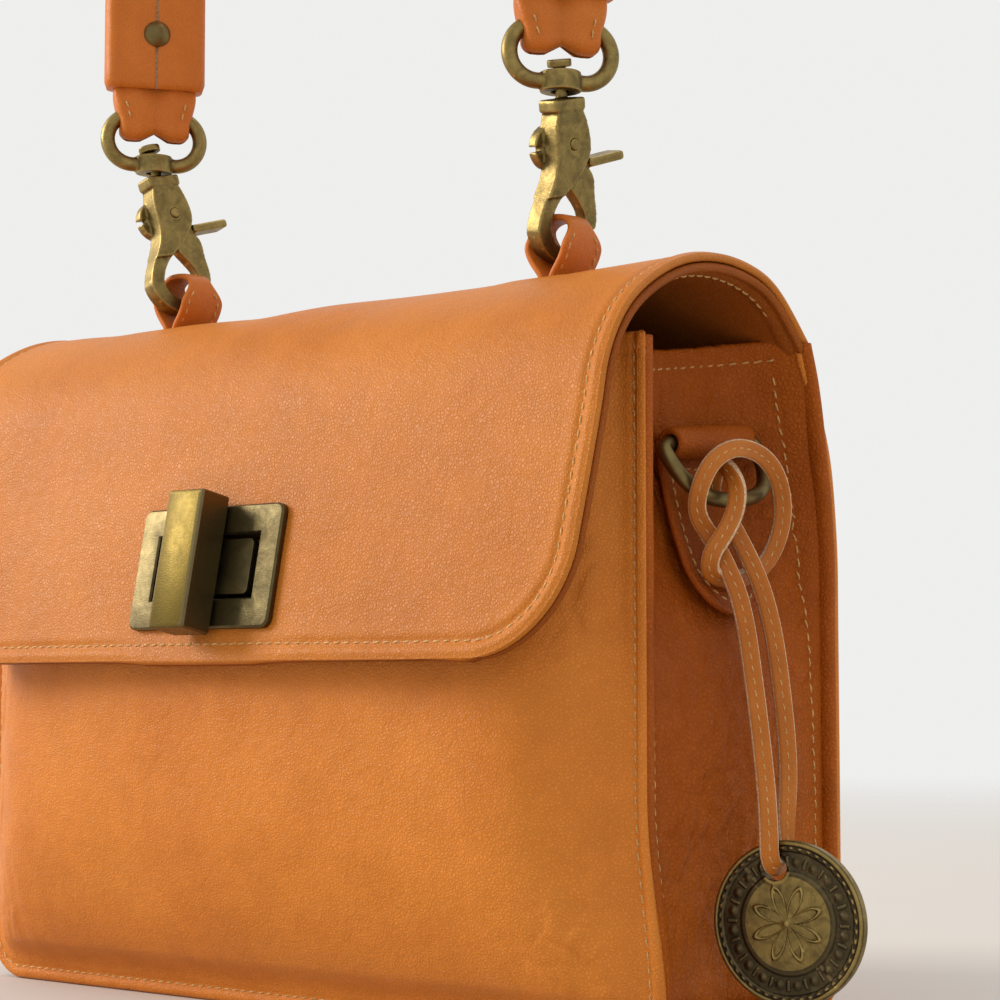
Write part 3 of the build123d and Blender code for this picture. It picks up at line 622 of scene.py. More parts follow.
def wall_face(y, z, side):
    """The side wall's outer face with its hem, gathers and creases, as points."""
    x = side_x(y, z)
    middle = ease(y, -34, -26) * (1 - ease(y, 27, 33))
    x = x + middle * (lumps(y, z, 20 * side, 28) * 0.9 + lumps(y, z, 31, 11) * 0.35)
    top = hump(z, 149, 15) * (1 - ease(y, -20, 2)) * ease(y, -35, -31)
    back = hump(z, 122, 34) * ease(y, 6, 22) * (1 - ease(y, 28, 32))
    low = hump(y, -4, 26) * hump(z, 46, 34) * middle
    x = x + creases(y, z, 4.0, 4.5, -60, 2.6) * top + creases(y, z, 4.6, 2.4, 42, 1.4) * back
    x = x + creases(y, z, 4.2, 2.2, 62, 0.9) * low + creases(y, z, 3.0, 2.0, 80, 0.3) * middle
    x = x - 0.35 * hump(y, -31.4, 0.8) * ease(z, 4, 14) - 0.4 * hump(y, 29.3, 0.8)
    drop = side_top(y) - z
    x = x + 0.5 * hump(drop, 1.9, 1.7) - 0.45 * hump(drop, 4.6, 0.9)
    # the foot turns in under the bag
    x = x - 6.0 * (1 - ease(z, 2.5, 15)) ** 2 * middle
    reach = np.minimum(33.2, back_y(z) - 3.0) - slump(z)
    y = -35.2 + (y + 35.2) * (reach + 35.2) / 68.4
    return settle(np.stack([x * side, y, z], -1))


def side_wall(side):
    """A soft side wall with a hem, gathered creases by the front lip and a tucked foot."""
    y = np.concatenate([np.linspace(-35.2, -30, 14)[:-1], np.linspace(-30, 33.2, 150)])
    t = np.concatenate([np.linspace(0, 0.965, 230), [0.975, 0.984, 0.991, 0.996, 1.0]])
    yy, tt = np.meshgrid(y, t, indexing="ij")
    verts, faces = shell(wall_face(yy, 3.0 + (side_top(yy) - 3.0) * tt, side), 1.9, flip=side)
    name = NAMES[side]
    wall = add_mesh(f"side_wall_{name}", verts, faces, SIDE, "bag", "leather_body", (f"gusset_{name}",))
    runs = [(0 * zs + y0, zs) for y0 in (-31.4, 29.3) for zs in [np.linspace(8, 164 if y0 < 0 else 168, 170)]]
    ys = np.linspace(-33, 31, 70)
    runs.append((ys, side_top(ys) - 4.6))
    parts = []
    for y, z in runs:
        dy = wall_face(y + 0.4, z, side) - wall_face(y - 0.4, z, side)
        dz = wall_face(y, z + 0.4, side) - wall_face(y, z - 0.4, side)
        parts.append(stitches(wall_face(y, z, side), np.cross(dy, dz) * side))
    add_mesh(f"side_stitches_{name}", *joined(*parts), THREAD, "bag", "leather_body")
    return wall


def back_y(z):
    """Back panel: upright, then curving forward to the flap's root."""
    return through(z, ((0, 37), (100, 37), (126, 37), (140, 36.6), (152, 35.4), (164, 32.9), (173.5, 29.8)))


def back_place(x, z):
    """The slumped back panel's width and the plane of its face at places on its outline."""
    return x * (1 - 0.016 * ease(z, 140, 172)), back_y(z) + 1.6 * (1 - ease(z, 150, 172)) - slump(z)


def back_skin():
    """The back panel as one sheet with its turned edges."""
    z = np.concatenate([EDGE_ROWS, np.linspace(9.6, 173.4, 150)])
    x = outline_half(z)[None, :] * spread(220, 1.35)[:, None]
    zz = np.broadcast_to(z[None, :], x.shape).copy()
    e = edge_distance(x, zz)
    soft = ease(e, 9, 28) * (lumps(x, zz, 40, 60) * 0.7 + lumps(x, zz, 44, 24) * 0.25)
    x, y = back_place(x, zz)
    y = y + soft - 2.6 * (1 - ease(e, -0.2, 1.7)) + 0.3 * hump(e, 2.4, 1.5) - 0.5 * hump(e, 6.2, 1.1)
    y = y - 1.2 * ease(e, 7, 20)
    p = np.stack([x, y, zz], -1)
    verts, faces = shell(p, 1.9, flip=-1)
    add_mesh("back_skin", verts, faces, BODY, "bag", "leather_body", ("back_panel",))


def panel_stitches():
    """Stitch rows beside the lips, front and back, and along the front hem."""
    path = u_path(3.7, 0, 169)
    parts = []
    y = front_y(path[:, 0], path[:, 2])
    normal = np.tile(V(0, -1, 0), (len(path), 1))
    parts.append(stitches(settle(np.stack([path[:, 0], y - 0.05, path[:, 2]], -1)), normal))
    xs = np.linspace(-118, 118, 240)
    zs = 0 * xs + 165.5
    hem = settle(np.stack([xs, front_y(xs, zs) + 0.15, zs], -1))
    parts.append(stitches(hem, np.tile(V(0, -1, 0), (len(xs), 1))))
    path = u_path(6.2, 0, 167)
    x, y = back_place(path[:, 0], path[:, 2])
    parts.append(stitches(np.stack([x, y - 0.45, path[:, 2]], -1), -normal))
    add_mesh("panel_stitches", *joined(*parts), THREAD, "bag", "leather_body")


def bottom():
    """The base leather, sagging a little between its edges, and resting on its rim."""
    x, y = np.meshgrid(np.linspace(-121, 121, 120), np.linspace(-36, 34, 50), indexing="ij")
    rim = np.minimum(121 - np.abs(x), np.minimum(y + 36, 34 - y))
    z = 0.9 + 1.3 * ease(rim, 0, 16) + lumps(x, y, 12, 22) * 0.2 * ease(rim, 3, 14)
    z = z + 2.6 * (1 - ease(121 - np.abs(x), 0, 9))
    p = np.stack([x, y, z], -1)
    verts, faces = shell(p, 1.8, flip=-1)
    add_mesh("base_leather", verts, faces, SIDE, "bag", "leather_body", ("base_panel",))


def inside():
    """Cloth lining with soft folds, and its patch pocket."""
    around = np.linspace(0, 2 * pi, 220)
    up = np.concatenate([np.linspace(0, 0.04, 8)[:-1], np.linspace(0.04, 1, 90)])
    aa, tt = np.meshgrid(around, up, indexing="ij")
    zz = 5.6 + (161.6 - 5.6) * tt
    c, s = np.cos(aa), np.sin(aa)
    k = 9.0
    r = (np.abs(c) ** k + np.abs(s) ** k) ** (-1 / k)
    back = through(zz, ((0, 32.0), (120, 32.0), (135, 31.4), (162, 27.4)))
    half_y, mid = (back + 34.0) / 2, (back - 34.0) / 2
    shrink = 1 - 0.06 * (1 - ease(tt, 0, 0.05))
    fold = 1 - 0.006 * (1 + np.sin(aa * 23 + 2 * np.sin(zz / 22))) * ease(tt, 0.03, 0.2)
    x = 101.2 * r * c * shrink * fold
    y = mid + half_y * r * s * shrink * fold
    p = np.stack([x, y, zz], -1)
    verts, faces = shell(p, 0.7, flip=1)
    fx, fy = np.meshgrid(np.linspace(-98, 98, 90), np.linspace(-32, 29.5, 30), indexing="ij")
    floor = np.stack([fx, fy, 6.0 + 0.25 * lumps(fx, fy, 2, 15)], -1)
    verts, faces = joined((verts, faces), shell(floor, 0.5, flip=1))
    add_mesh("lining_cloth", verts, faces, CLOTH, "bag", "cloth_lining", ("lining",))
    px, pz = np.meshgrid(np.linspace(-59.5, 59.5, 90), np.linspace(45.5, 129.5, 60), indexing="ij")
    rim = np.minimum(59.5 - np.abs(px), pz - 45.5)
    y = 31.0 - 1.5 * ease(rim, 0, 5) - 0.3 * lumps(px, pz, 8, 24) * ease(rim, 3, 10)
    verts, faces = shell(np.stack([px, y, pz], -1), 0.7, flip=1)
    add_mesh("pocket_cloth", verts, faces, CLOTH, "bag", "cloth_lining", ("inner_pocket",))


# ---- flap ---------------------------------------------------------------------------------
def flap_arcs():
    """Centre and radius of the flap's arch, its shoulder's centre, and the front run."""
    (x1, y1), (x2, y2), (x3, y3) = (29.9, 173.9), (-8.0, 191.3), (-46.0, 179.5)
    a, b, c, d = 2 * (x2 - x1), 2 * (y2 - y1), 2 * (x3 - x1), 2 * (y3 - y1)
    e = x2**2 + y2**2 - x1**2 - y1**2
    f = x3**2 + y3**2 - x1**2 - y1**2
    centre = np.array([(e * d - b * f) / (a * d - b * c), (a * f - e * c) / (a * d - b * c)])
    radius = sqrt((x1 - centre[0]) ** 2 + (y1 - centre[1]) ** 2)
    out = unit(np.array([x3, y3]) - centre)
    return centre, radius, atan2(y1 - centre[1], x1 - centre[0]), atan2(out[1], out[0])


ARCH_C, ARCH_R, ARCH_A, ARCH_B = flap_arcs()
SHOULDER_R, SHOULDER_TURN = 38.0, radians(41)
SHOULDER_C = ARCH_C + (ARCH_R - SHOULDER_R) * np.array([cos(ARCH_B), sin(ARCH_B)])
ARCH_L, SHOULDER_L = ARCH_R * (ARCH_B - ARCH_A), SHOULDER_R * SHOULDER_TURN
RUN_A = ARCH_B + SHOULDER_TURN
RUN_START = SHOULDER_C + SHOULDER_R * np.array([cos(RUN_A), sin(RUN_A)])
RUN_DIR = np.array([-sin(RUN_A), cos(RUN_A)])
FLAP_L = ARCH_L + SHOULDER_L + (RUN_START[1] - 92.0) / -RUN_DIR[1]
LOCK_S = ARCH_L + SHOULDER_L + (RUN_START[1] - LOCK_Z) / -RUN_DIR[1]


def flap_section(s):
    """Place and outward normal on the flap's section at a length from its back edge."""
    s = np.asarray(s, float)
    a1 = ARCH_A + s / ARCH_R
    a2 = ARCH_B + (s - ARCH_L) / SHOULDER_R
    on_arch, on_bend = s < ARCH_L, s < ARCH_L + SHOULDER_L
    angle = np.where(on_arch, a1, np.where(on_bend, a2, RUN_A))
    run = s - ARCH_L - SHOULDER_L
    y = np.where(on_arch, ARCH_C[0] + ARCH_R * np.cos(a1),
                 np.where(on_bend, SHOULDER_C[0] + SHOULDER_R * np.cos(a2), RUN_START[0] + RUN_DIR[0] * run))
    z = np.where(on_arch, ARCH_C[1] + ARCH_R * np.sin(a1),
                 np.where(on_bend, SHOULDER_C[1] + SHOULDER_R * np.sin(a2), RUN_START[1] + RUN_DIR[1] * run))
    return y, z, np.cos(angle), np.sin(angle)


def flap_half(s, inset=0.0):
    """Half width of the flap at a length from its back edge."""
    _, z, _, _ = flap_section(s)
    wide = 123.5 - 4.0 * ease(158 - z, 0, 66) - inset
    radius = 28.0 - inset
    rise = np.clip(radius - (FLAP_L - inset - np.asarray(s, float)), 0, radius)
    return wide - radius + np.sqrt(np.maximum(radius**2 - rise**2, 0))


def flap_edge(x, s):
    """Distance in from the flap's free edge."""
    x = np.abs(x)
    _, z, _, _ = flap_section(s)
    side = 123.5 - 4.0 * ease(158 - z, 0, 66) - x
    low = FLAP_L - s
    corner = (side < 28) & (low < 28)
    return np.where(corner, 28 - np.hypot(28 - side, 28 - low), np.minimum(side, low))


def flap_lift(x, s):
    """How the leather stands off its plain shape: rolled edge, stitch valley and soft waves."""
    e = flap_edge(x, s)
    lift = 0.5 * hump(e, 1.9, 1.3) - 0.5 * hump(e, 4.4, 0.9) + 0.1 * hump(e, 6.6, 1.3)
    free = ease(s, 4, 30)
    lift = lift + free * (lumps(x, s, 60, 62) * 1.1 + lumps(x, s, 66, 30) * 0.45 + lumps(x, s, 71, 13) * 0.12)
    lift = lift - 1.0 * hump(x, -88, 15) * hump(s, 42, 18) - 0.7 * hump(x, -22, 20) * hump(s, 45, 16)
    calm = np.hypot(x / 34, (s - LOCK_S) / 24)
    lift = lift * ease(calm, 0.85, 1.5)
    lift = lift * ease(np.hypot((np.abs(x) - 72) / 9, (s - 50) / 12), 0.8, 1.6)
    return lift


def flap_place(x, s, depth=0.0):
    """A place on the flap, at a depth inside its outer face, with its normal."""
    y, z, ny, nz = flap_section(s)
    lift = flap_lift(x, s) * ease(4.6 - np.asarray(depth, float), -2, 4.6)
    y, z = y + ny * (lift - depth), z + nz * (lift - depth)
    y = y - 4.0 * ease(y, 4, 31)
    return np.stack(np.broadcast_arrays(x, y, z), -1), np.stack(np.broadcast_arrays(0 * x, ny, nz), -1)


def flap_grid(depth, inset):
    """A grid over the flap, with lines on the lock's opening."""
    hole_s = np.array([LOCK_S - 9.4, LOCK_S + 9.4])
    s = np.concatenate([np.linspace(0, 24, 18)[:-1], np.linspace(24, hole_s[0], 110),
                        np.linspace(hole_s[0], hole_s[1], 18)[1:],
                        np.linspace(hole_s[1], FLAP_L - 6.2, 10)[1:],
                        FLAP_L - inset - np.array([5.4, 4.7, 4.0, 3.3, 2.6, 2.0, 1.4, 0.9, 0.5, 0.2, 0.0])])
    half = flap_half(s, inset)
    core = np.linspace(-19.8, 19.8, 34)
    k = np.linspace(0, 1, 108)[1:]
    k = 1 - (1 - k) ** 1.5
    cols = [(-1, v) for v in k[::-1]] + [(0, v) for v in core] + [(1, v) for v in k]
    x = np.array([[c if side == 0 else side * (19.8 + (h - 19.8) * c) for h in half] for side, c in cols])
    ss = np.broadcast_to(s[None, :], x.shape).copy()
    p, _ = flap_place(x, ss, depth)
    skip = np.zeros(x.shape, bool)
    first, last = len(k), len(k) + len(core) - 1
    rows = (s[:-1] >= hole_s[0] - 1e-6) & (s[:-1] < hole_s[1] - 1e-6)
    for i in range(first, last):
        skip[i, :-1] = rows
    return p, skip


# a bag body, a flap body and two places between the bag's back and the flap's swinging part; add_mesh only sees a
# tuple here and leaves the flap meshes unattached, so nothing bends
FOLD = ("bag", "flap", (0, 0.0265, 0.1735), (0, 0.0145, 0.1775))


def flap_row(inset):
    """Path of a stitch row, as (x, s), down the right side, along the bottom and up the left."""
    right = [(float(flap_half(s, inset)), s) for s in np.linspace(15, FLAP_L - 28, 90)]
    wide = float(flap_half(FLAP_L - 28, 0)) - 28
    corner = [(wide + (28 - inset) * cos(a), FLAP_L - 28 + (28 - inset) * sin(a))
              for a in np.linspace(0, pi / 2, 24)[1:]]
    run = right + corner + [(v, FLAP_L - inset) for v in np.linspace(wide - 1, 1, 60)]
    return np.array(run + [(-x, s) for x, s in reversed(run)])


def flap():
    """Outer flap leather and its lining leather, each with a turned edge, and both stitch rows."""
    p, skip = flap_grid(0, 0)
    verts, faces = shell(p, 2.1, flip=-1, skip=skip)
    add_mesh("flap_skin", verts, faces, FLAP, FOLD, "leather_flap", ("flap_outer",))
    p, skip = flap_grid(2.35, 0.15)
    verts, faces = shell(p, 2.2, flip=-1, skip=skip)
    add_mesh("flap_under", verts, faces, LINING_WITH_PAINTED_SHADE, FOLD, "flap_lining", ("flap_lining",))
    row = flap_row(4.4)
    top, n = flap_place(row[:, 0], row[:, 1], 0.0)
    under, _ = flap_place(row[:, 0], row[:, 1], 4.5)
    verts, faces = joined(stitches(top + n * 0.05, n), stitches(under - n * 0.05, -n))
    add_mesh("flap_stitches", verts, faces, THREAD, "flap", "leather_flap")


# ---- loops on the flap --------------------------------------------------------------------
def loop(side):
    """Leather loop: a teardrop band, wide at its feet and narrow where it passes the claw."""
    half = [V(x, 0, z) for x, z in ((1.9, -15.6), (2.5, -13.8), (4.3, -11.6), (6.3, -8.6), (7.3, -5),
                                    (7.2, -1.8), (6.0, 0.9), (3.4, 2.4), (0, 2.7))]
    line = half + [p * V(-1, 1, 1) for p in reversed(half[:-1])]
    pts = spline_points("loop_guide", line, 6)
    t = unit(np.gradient(pts, axis=0))
    out = np.stack([-t[:, 2], 0 * t[:, 0], t[:, 0]], -1)
    if out[0, 0] < 0:
        out = -out
    z = pts[:, 2]
    width = 7.9 - 3.6 * ease(z, -7, 0.5)
    middle = -0.4 * ease(z, -7, 0.5)
    sections = []
    for w, m in zip(width, middle):
        ring = [(-w + 0.3, -1.5), (w - 0.3, -1.5), (w, -0.75), (w - 0.3, 0), (w - 1.6, 0.12),
                (-w + 1.6, 0.12), (-w + 0.3, 0), (-w, -0.75)]
        sections.append([(a + m, b) for a, b in ring])
    along_y = np.tile(V(0, 1, 0), (len(pts), 1))
    verts, faces = sweep(pts, along_y, out, sections)
    tilt = Matrix.Rotation(radians(2), 3, "X")
    verts = [V(LOOPS[side], PIVOT_Y, PIVOT_Z) + np.array(tilt @ Vector(v)) for v in verts]
    name = NAMES[side]
    obj = add_mesh(f"leather_loop_{name}", verts, faces, STRAP, "flap", "leather_flap", (f"loop_{name}",))
    bevel = obj.modifiers.new("round", "BEVEL")
    bevel.width, bevel.segments, bevel.limit_method = 0.0002, 2, "ANGLE"
    parts = []
    for edge in (-1, 1):
        for part in (pts[: len(pts) // 2], pts[len(pts) // 2:]):
            q = part[part[:, 2] < -2.0]
            o = np.stack([np.sign(q[:, 0]), 0 * q[:, 0], 0 * q[:, 0]], -1)
            w = 7.9 - 3.6 * ease(q[:, 2], -7, 0.5)
            q = q + o * 0.1 + np.stack([0 * w, edge * (w - 2.2), 0 * w], -1)
            q = q + V(LOOPS[side], PIVOT_Y, PIVOT_Z)
            parts.append(stitches(q, o, pitch=2.9, length=2.1, radius=0.28))
    add_mesh(f"loop_stitches_{name}", *joined(*parts), THREAD, "flap", "leather_flap")


def spline_points(name, route, resolution, scale=1.0):
    """Points along a NURBS curve led by a route."""
    curve = bpy.data.curves.new(name, "CURVE")
    curve.dimensions = "3D"
    spline = curve.splines.new("NURBS")
    spline.points.add(len(route) - 1)
    for point, p in zip(spline.points, route):
        point.co = (p[0] * scale, p[1] * scale, p[2] * scale, 1)
    spline.order_u = 3
    spline.use_endpoint_u = True
    spline.resolution_u = resolution
    holder = bpy.data.objects.new("guide", curve)
    bpy.context.scene.collection.objects.link(holder)
    mesh = bpy.data.meshes.new_from_object(holder)
    pts = np.array([tuple(v.co) for v in mesh.vertices])
    bpy.data.objects.remove(holder)
    bpy.data.meshes.remove(mesh)
    return pts


# ---- handle -------------------------------------------------------------------------------
def ring_origin(side):
    """Foot of the upright axis that a swivel ring and its strap end stand on."""
    x, y, lean, tilt, turn = HOOKS[side]
    m = (Matrix.Rotation(radians(tilt), 3, "X") @ Matrix.Rotation(radians(side * lean), 3, "Y")
         @ Matrix.Rotation(radians(turn), 3, "Z"))
    return V(x, y, PIVOT_Z) + np.array(m @ Vector((0, 3, 37))) - V(0, 0, 37)


def handle_line(length):
    """Place, direction, width direction, outward normal and height over the eye, ring to ring."""
    right, left = ring_origin(1), ring_origin(-1)
    middle, r = (right[0] + left[0]) / 2, (right[0] - left[0]) / 2
    leg = ARCH_START - 44.0
    total = 2 * leg + pi * r
    s = np.asarray(length, float) * total
    side = np.where(s > total / 2, -1.0, 1.0)
    d = np.minimum(s, total - s)
    along = 44.0 + d
    a = np.clip((d - leg) / r, 0, pi / 2)
    share = s / total
    y = right[1] + (left[1] - right[1]) * ease(share, 0.1, 0.9)
    z0 = right[2] + (left[2] - right[2]) * ease(share, 0.1, 0.9)
    height = z0 + np.minimum(along, ARCH_START) + r * np.sin(a)
    place = np.stack([middle + side * r * np.cos(a), y, height], -1)
    out = np.stack([np.cos(a) * side, 0 * a, np.sin(a)], -1)
    t = np.stack([-np.sin(a) * side, 0 * a, np.cos(a)], -1)
    wide = np.tile(V(0, 1, 0), (len(a), 1))
    turn = TURN * (1 - ease(along, 86, 150)) * side
    c, sn = np.cos(turn)[..., None], np.sin(turn)[..., None]
    return place, t, wide * c + out * sn, out * c - wide * sn, along


def strap_size(along):
    """Half width and half thickness of the strap, gathered and folded double near its ring."""
    return 12.4 - 2.0 * (1 - ease(along, 47, 58)), 2.8 + 1.9 * (1 - ease(along, 53, 60))


def strap_and_wrap():
    """Strap folded over both rings, and the wide sleeve sewn round it."""
    s = np.concatenate([np.linspace(0, 0.03, 34)[:-1], np.linspace(0.03, 0.97, 190),
                        np.linspace(0.97, 1, 34)[1:]])
    place, t, wide, out, along = handle_line(s)
    sections = []
    for k in range(len(s)):
        low = along[k]
        half, thick = strap_size(low)
        thick *= sqrt(max(0.0, 1 - max(0.0, (47.5 - low) / 3.6) ** 2.2))
        ring = []
        for m in range(40):
            a = 2 * pi * m / 40
            w = half * rounded(cos(a), 0.5)
            h = thick * rounded(sin(a), 0.42)
            h *= 1 - 0.55 * hump(w, 0, 1.5)
            h *= 1 - 0.12 * hump(abs(w), half - 3.2, 0.8)
            ring.append((w, h))
        sections.append(ring)
    verts, faces = sweep(place, wide, out, sections)
    verts = np.array(verts).reshape(len(s), 40, 3)
    for k in range(len(s)):
        if along[k] < 52:
            w = np.array([q[0] for q in sections[k]])
            shift = 2.4 * np.exp(-(w / 2.6) ** 2) + 2.4 * np.clip((np.abs(w) - 7.6) / 3.2, 0, 1) ** 2
            shift = shift * (52 - along[k]) / 8.0
            verts[k] += t[k] * shift[:, None]
    add_mesh("strap_leather", verts.reshape(-1, 3), faces, STRAP, "handle", "leather_strap", ("strap",))
    # sleeve: two edges meet in a slit on the inner face
    inside = (along > WRAP_START)
    q = [a[inside] for a in (place, t, wide, out, along)]
    sections = []
    for k in range(len(q[0])):
        end = q[4][k] - WRAP_START
        puff = 1 - 0.05 * hump(end, 0, 0.6)
        path = [(-0.35, -4.3), (-0.5, -4.5), (-1.2, -4.62), (-4, -4.5), (-8, -4.45), (-10.9, -4.1),
                (-11.9, -4.45), (-13.6, -4.0), (-14.8, -2.4), (-15.05, 0), (-14.8, 2.4), (-13.6, 4.0), (-11.9, 4.5),
                (-10.9, 4.15), (-8, 4.6), (-4, 4.75), (0, 4.8)]
        ring = path + [(-a, b) for a, b in reversed(path[:-1])] + [(0.35, -3.2), (-0.35, -3.2)]
        wob = 0.15 * float(lumps(q[4][k] * (1 if q[0][k][0] > 0 else -1), 0, 5, 14))
        sections.append([(a * puff, (b + wob * np.sign(b)) * puff) for a, b in ring])
    verts, faces = sweep(q[0], q[2], q[3], sections, closed_ends=False)
    count = len(sections[0])
    rings = len(q[0])
    base = len(verts)
    verts = list(verts)
    for row in (0, rings - 1):
        verts += [q[0][row] + q[2][row] * a * 0.86 + q[3][row] * b * 0.66 for a, b in sections[row]]
    for end, row in ((0, 0), (1, rings - 1)):
        for k in range(count):
            a, b = row * count + k, row * count + (k + 1) % count
            c, d = base + end * count + k, base + end * count + (k + 1) % count
            faces.append((a, c, d, b) if end == 0 else (b, d, c, a))
    kinds = [1 if (k % count) in (count - 1, count - 2, count - 3) else 0 for k in range((rings - 1) * count)]
    kinds += [0] * (len(faces) - len(kinds))
    add_mesh("wrap_leather", verts, faces, [STRAP, EDGE], "handle", "leather_strap", ("handle_wrap",),
             kinds)
    parts = []
    for part in (slice(0, 30), slice(-30, None)):
        sub = [a[part] for a in (place, wide, out, along)]
        keep = (sub[3] > 47.5) & (sub[3] < 59.2)
        for edge in (-1, 1):
            for face in (-1, 1):
                low = sub[3][keep]
                half, thick = strap_size(low)
                row = sub[0][keep] + sub[1][keep] * (edge * (half - 3.2))[:, None]
                row = row + sub[2][keep] * face * (thick * 0.9)[:, None]
                parts.append(stitches(row, sub[2][keep] * face, pitch=3.1, length=2.2))
    add_mesh("handle_stitches", *joined(*parts), THREAD, "handle", "leather_strap")


# ---- side ring patch ------------------------------------------------------------------------
def ring_patch(side):
    """Patch sewn on the side wall with its top rolled round the D-ring's bar."""
    half, low = 15.5, 103.0
    z = np.concatenate([low + np.array([0.0, 0.1, 0.3, 0.7, 1.2, 1.9, 2.8]), np.linspace(low + 4, 146, 44)])
    round_half = half - 15.0 + np.sqrt(np.maximum(15.0**2 - np.clip(15.0 - (z - low), 0, 15) ** 2, 0))
    y = RING_AT[1] + round_half[None, :] * spread(40, 1.3)[:, None]
    zz = np.broadcast_to(z[None, :], y.shape).copy()
    edge = np.minimum(round_half[None, :] - np.abs(y - RING_AT[1]), zz - low)
    x = side_x(y, zz) + 2.1 + 0.15 * hump(edge, 1.4, 1.0) - 0.3 * hump(edge, 3.2, 0.7)
    x = x + 0.8 * (1 - ease(zz, low, low + 12))
    p = np.stack([x * side, y, zz], -1)
    sheet = shell(p, 1.9, flip=side)
    # the roll, a C round the bar, closing against the patch
    a = np.linspace(radians(-125), radians(168), 34)
    w = np.concatenate([[-15.6, -15.4, -15.0], np.linspace(-14, 14, 20), [15.0, 15.4, 15.6]])
    aa, ww = np.meshgrid(a, w, indexing="ij")
    r = 4.15 - 0.25 * ease(np.abs(ww), 14.2, 15.6) + 0.12 * lumps(aa * 8, ww, 4, 7)
    roll = np.stack([r * np.cos(aa), ww, r * np.sin(aa)], -1)
    c, s = cos(RING_TILT), sin(RING_TILT)
    roll = np.stack([roll[..., 0], roll[..., 1] * c - roll[..., 2] * s,
                     roll[..., 1] * s + roll[..., 2] * c], -1)
    roll = (roll + RING_AT) * V(side, 1, 1)
    verts, faces = joined(sheet, shell(roll, 1.7, flip=-side))
    name = NAMES[side]
    add_mesh(f"ring_patch_leather_{name}", verts, faces, SIDE, "bag", "leather_body",
             (f"d_ring_patch_{name}",))
    row, heights = half - 3.2, np.linspace(140, low + 15, 26)
    run = np.array([(RING_AT[1] + row, z) for z in heights]
                   + [(RING_AT[1] + row * cos(k), low + 15 - (15 - 3.2) * sin(k))
                      for k in np.linspace(0, pi, 40)[1:-1]]
                   + [(RING_AT[1] - row, z) for z in heights[::-1]])
    across = np.array([(y, 140.0) for y in np.linspace(RING_AT[1] - 12, RING_AT[1] + 12, 20)])
    parts = []
    for line in (run, across):
        x = side_x(line[:, 0], line[:, 1]) + 2.0 + 0.8 * (1 - ease(line[:, 1], low, low + 12))
        q = np.stack([x * side, line[:, 0], line[:, 1]], -1)
        parts.append(stitches(q, np.tile(V(side, 0, 0), (len(q), 1)), pitch=3.1, length=2.3))
    add_mesh(f"patch_stitches_{name}", *joined(*parts), THREAD, "bag", "leather_body")


# ---- charm ----------------------------------------------------------------------------------
LACE_ROUTE = (
    (113.6, -3.5, 131.0), (114.4, -4.5, 138.5), (119.5, -6.0, 141.2), (124.2, -6.8, 135.0),
    (125.4, -9.5, 128.5), (125.6, -14.5, 122.5), (124.0, -18.4, 117.5), (121.6, -15.5, 112.3),
    (121.0, -2.0, 111.5), (121.8, 9.0, 116.0), (123.6, 13.8, 126.5), (124.2, 12.0, 136.5),
    (125.0, 4.0, 143.0), (125.0, -8.0, 144.8), (123.6, -16.6, 141.0), (121.2, -19.0, 134.0),
    (118.6, -17.0, 128.0), (119.4, -12.6, 122.6), (123.4, -12.0, 116.5), (127.6, -10.0, 105.5),
    (130.4, -9.0, 84.0), (134.0, -10.4, 64.0), (139.6, -17.2, 53.0), (139.9, -17.5, 42.7),
    (138.7, -9.4, 42.7), (138.0, -7.8, 53.0), (134.8, -1.4, 66.0), (131.4, 1.0, 84.0),
    (129.0, 0.2, 102.0), (126.2, -3.6, 116.0), (121.0, -6.4, 126.5))


def lace():
    """The charm's flat lace along its knotted route, with raw edges and a stitched line."""
    path = spline_points("lace_guide", LACE_ROUTE, 14, MM)
    pts = path / MM
    t = unit(np.gradient(pts, axis=0))
    # the wide face looks outwards from the bag where it can
    wish = V(0.62, -0.74, 0.25)
    up = [unit(wish - t[0] * np.dot(wish, t[0]))]
    for k in range(1, len(pts)):
        carried = up[-1] - t[k] * np.dot(up[-1], t[k])
        pull = wish - t[k] * np.dot(wish, t[k])
        up.append(unit(unit(carried) + 0.10 * pull))
    up = np.array(up)
    across = unit(np.cross(t, up))
    ring = [(-2.25, -0.55), (-2.0, -1.05), (-1.2, -1.15), (0, -1.1), (1.2, -1.15), (2.0, -1.05),
            (2.25, -0.55), (2.25, 0.55), (2.0, 1.1), (1.2, 1.2), (0, 1.02), (-1.2, 1.2), (-2.0, 1.1), (-2.25, 0.55)]
    verts, faces = sweep(pts, across, up, ring)
    count = len(ring)
    kinds = [1 if k % count in (6, 7, 12, 13) else 0 for k in range((len(pts) - 1) * count)] + [1, 1]
    obj = add_mesh("lace_leather", verts, faces, [LACE, EDGE], "charm", "leather_lace",
                   ("charm_lace",), kinds)
    verts, faces = stitches(pts + up * 0.98, up, pitch=3.0, length=2.1, radius=0.2, lift=0.06)
    sew = add_mesh("lace_stitches", verts, faces, THREAD, "charm", "leather_lace")


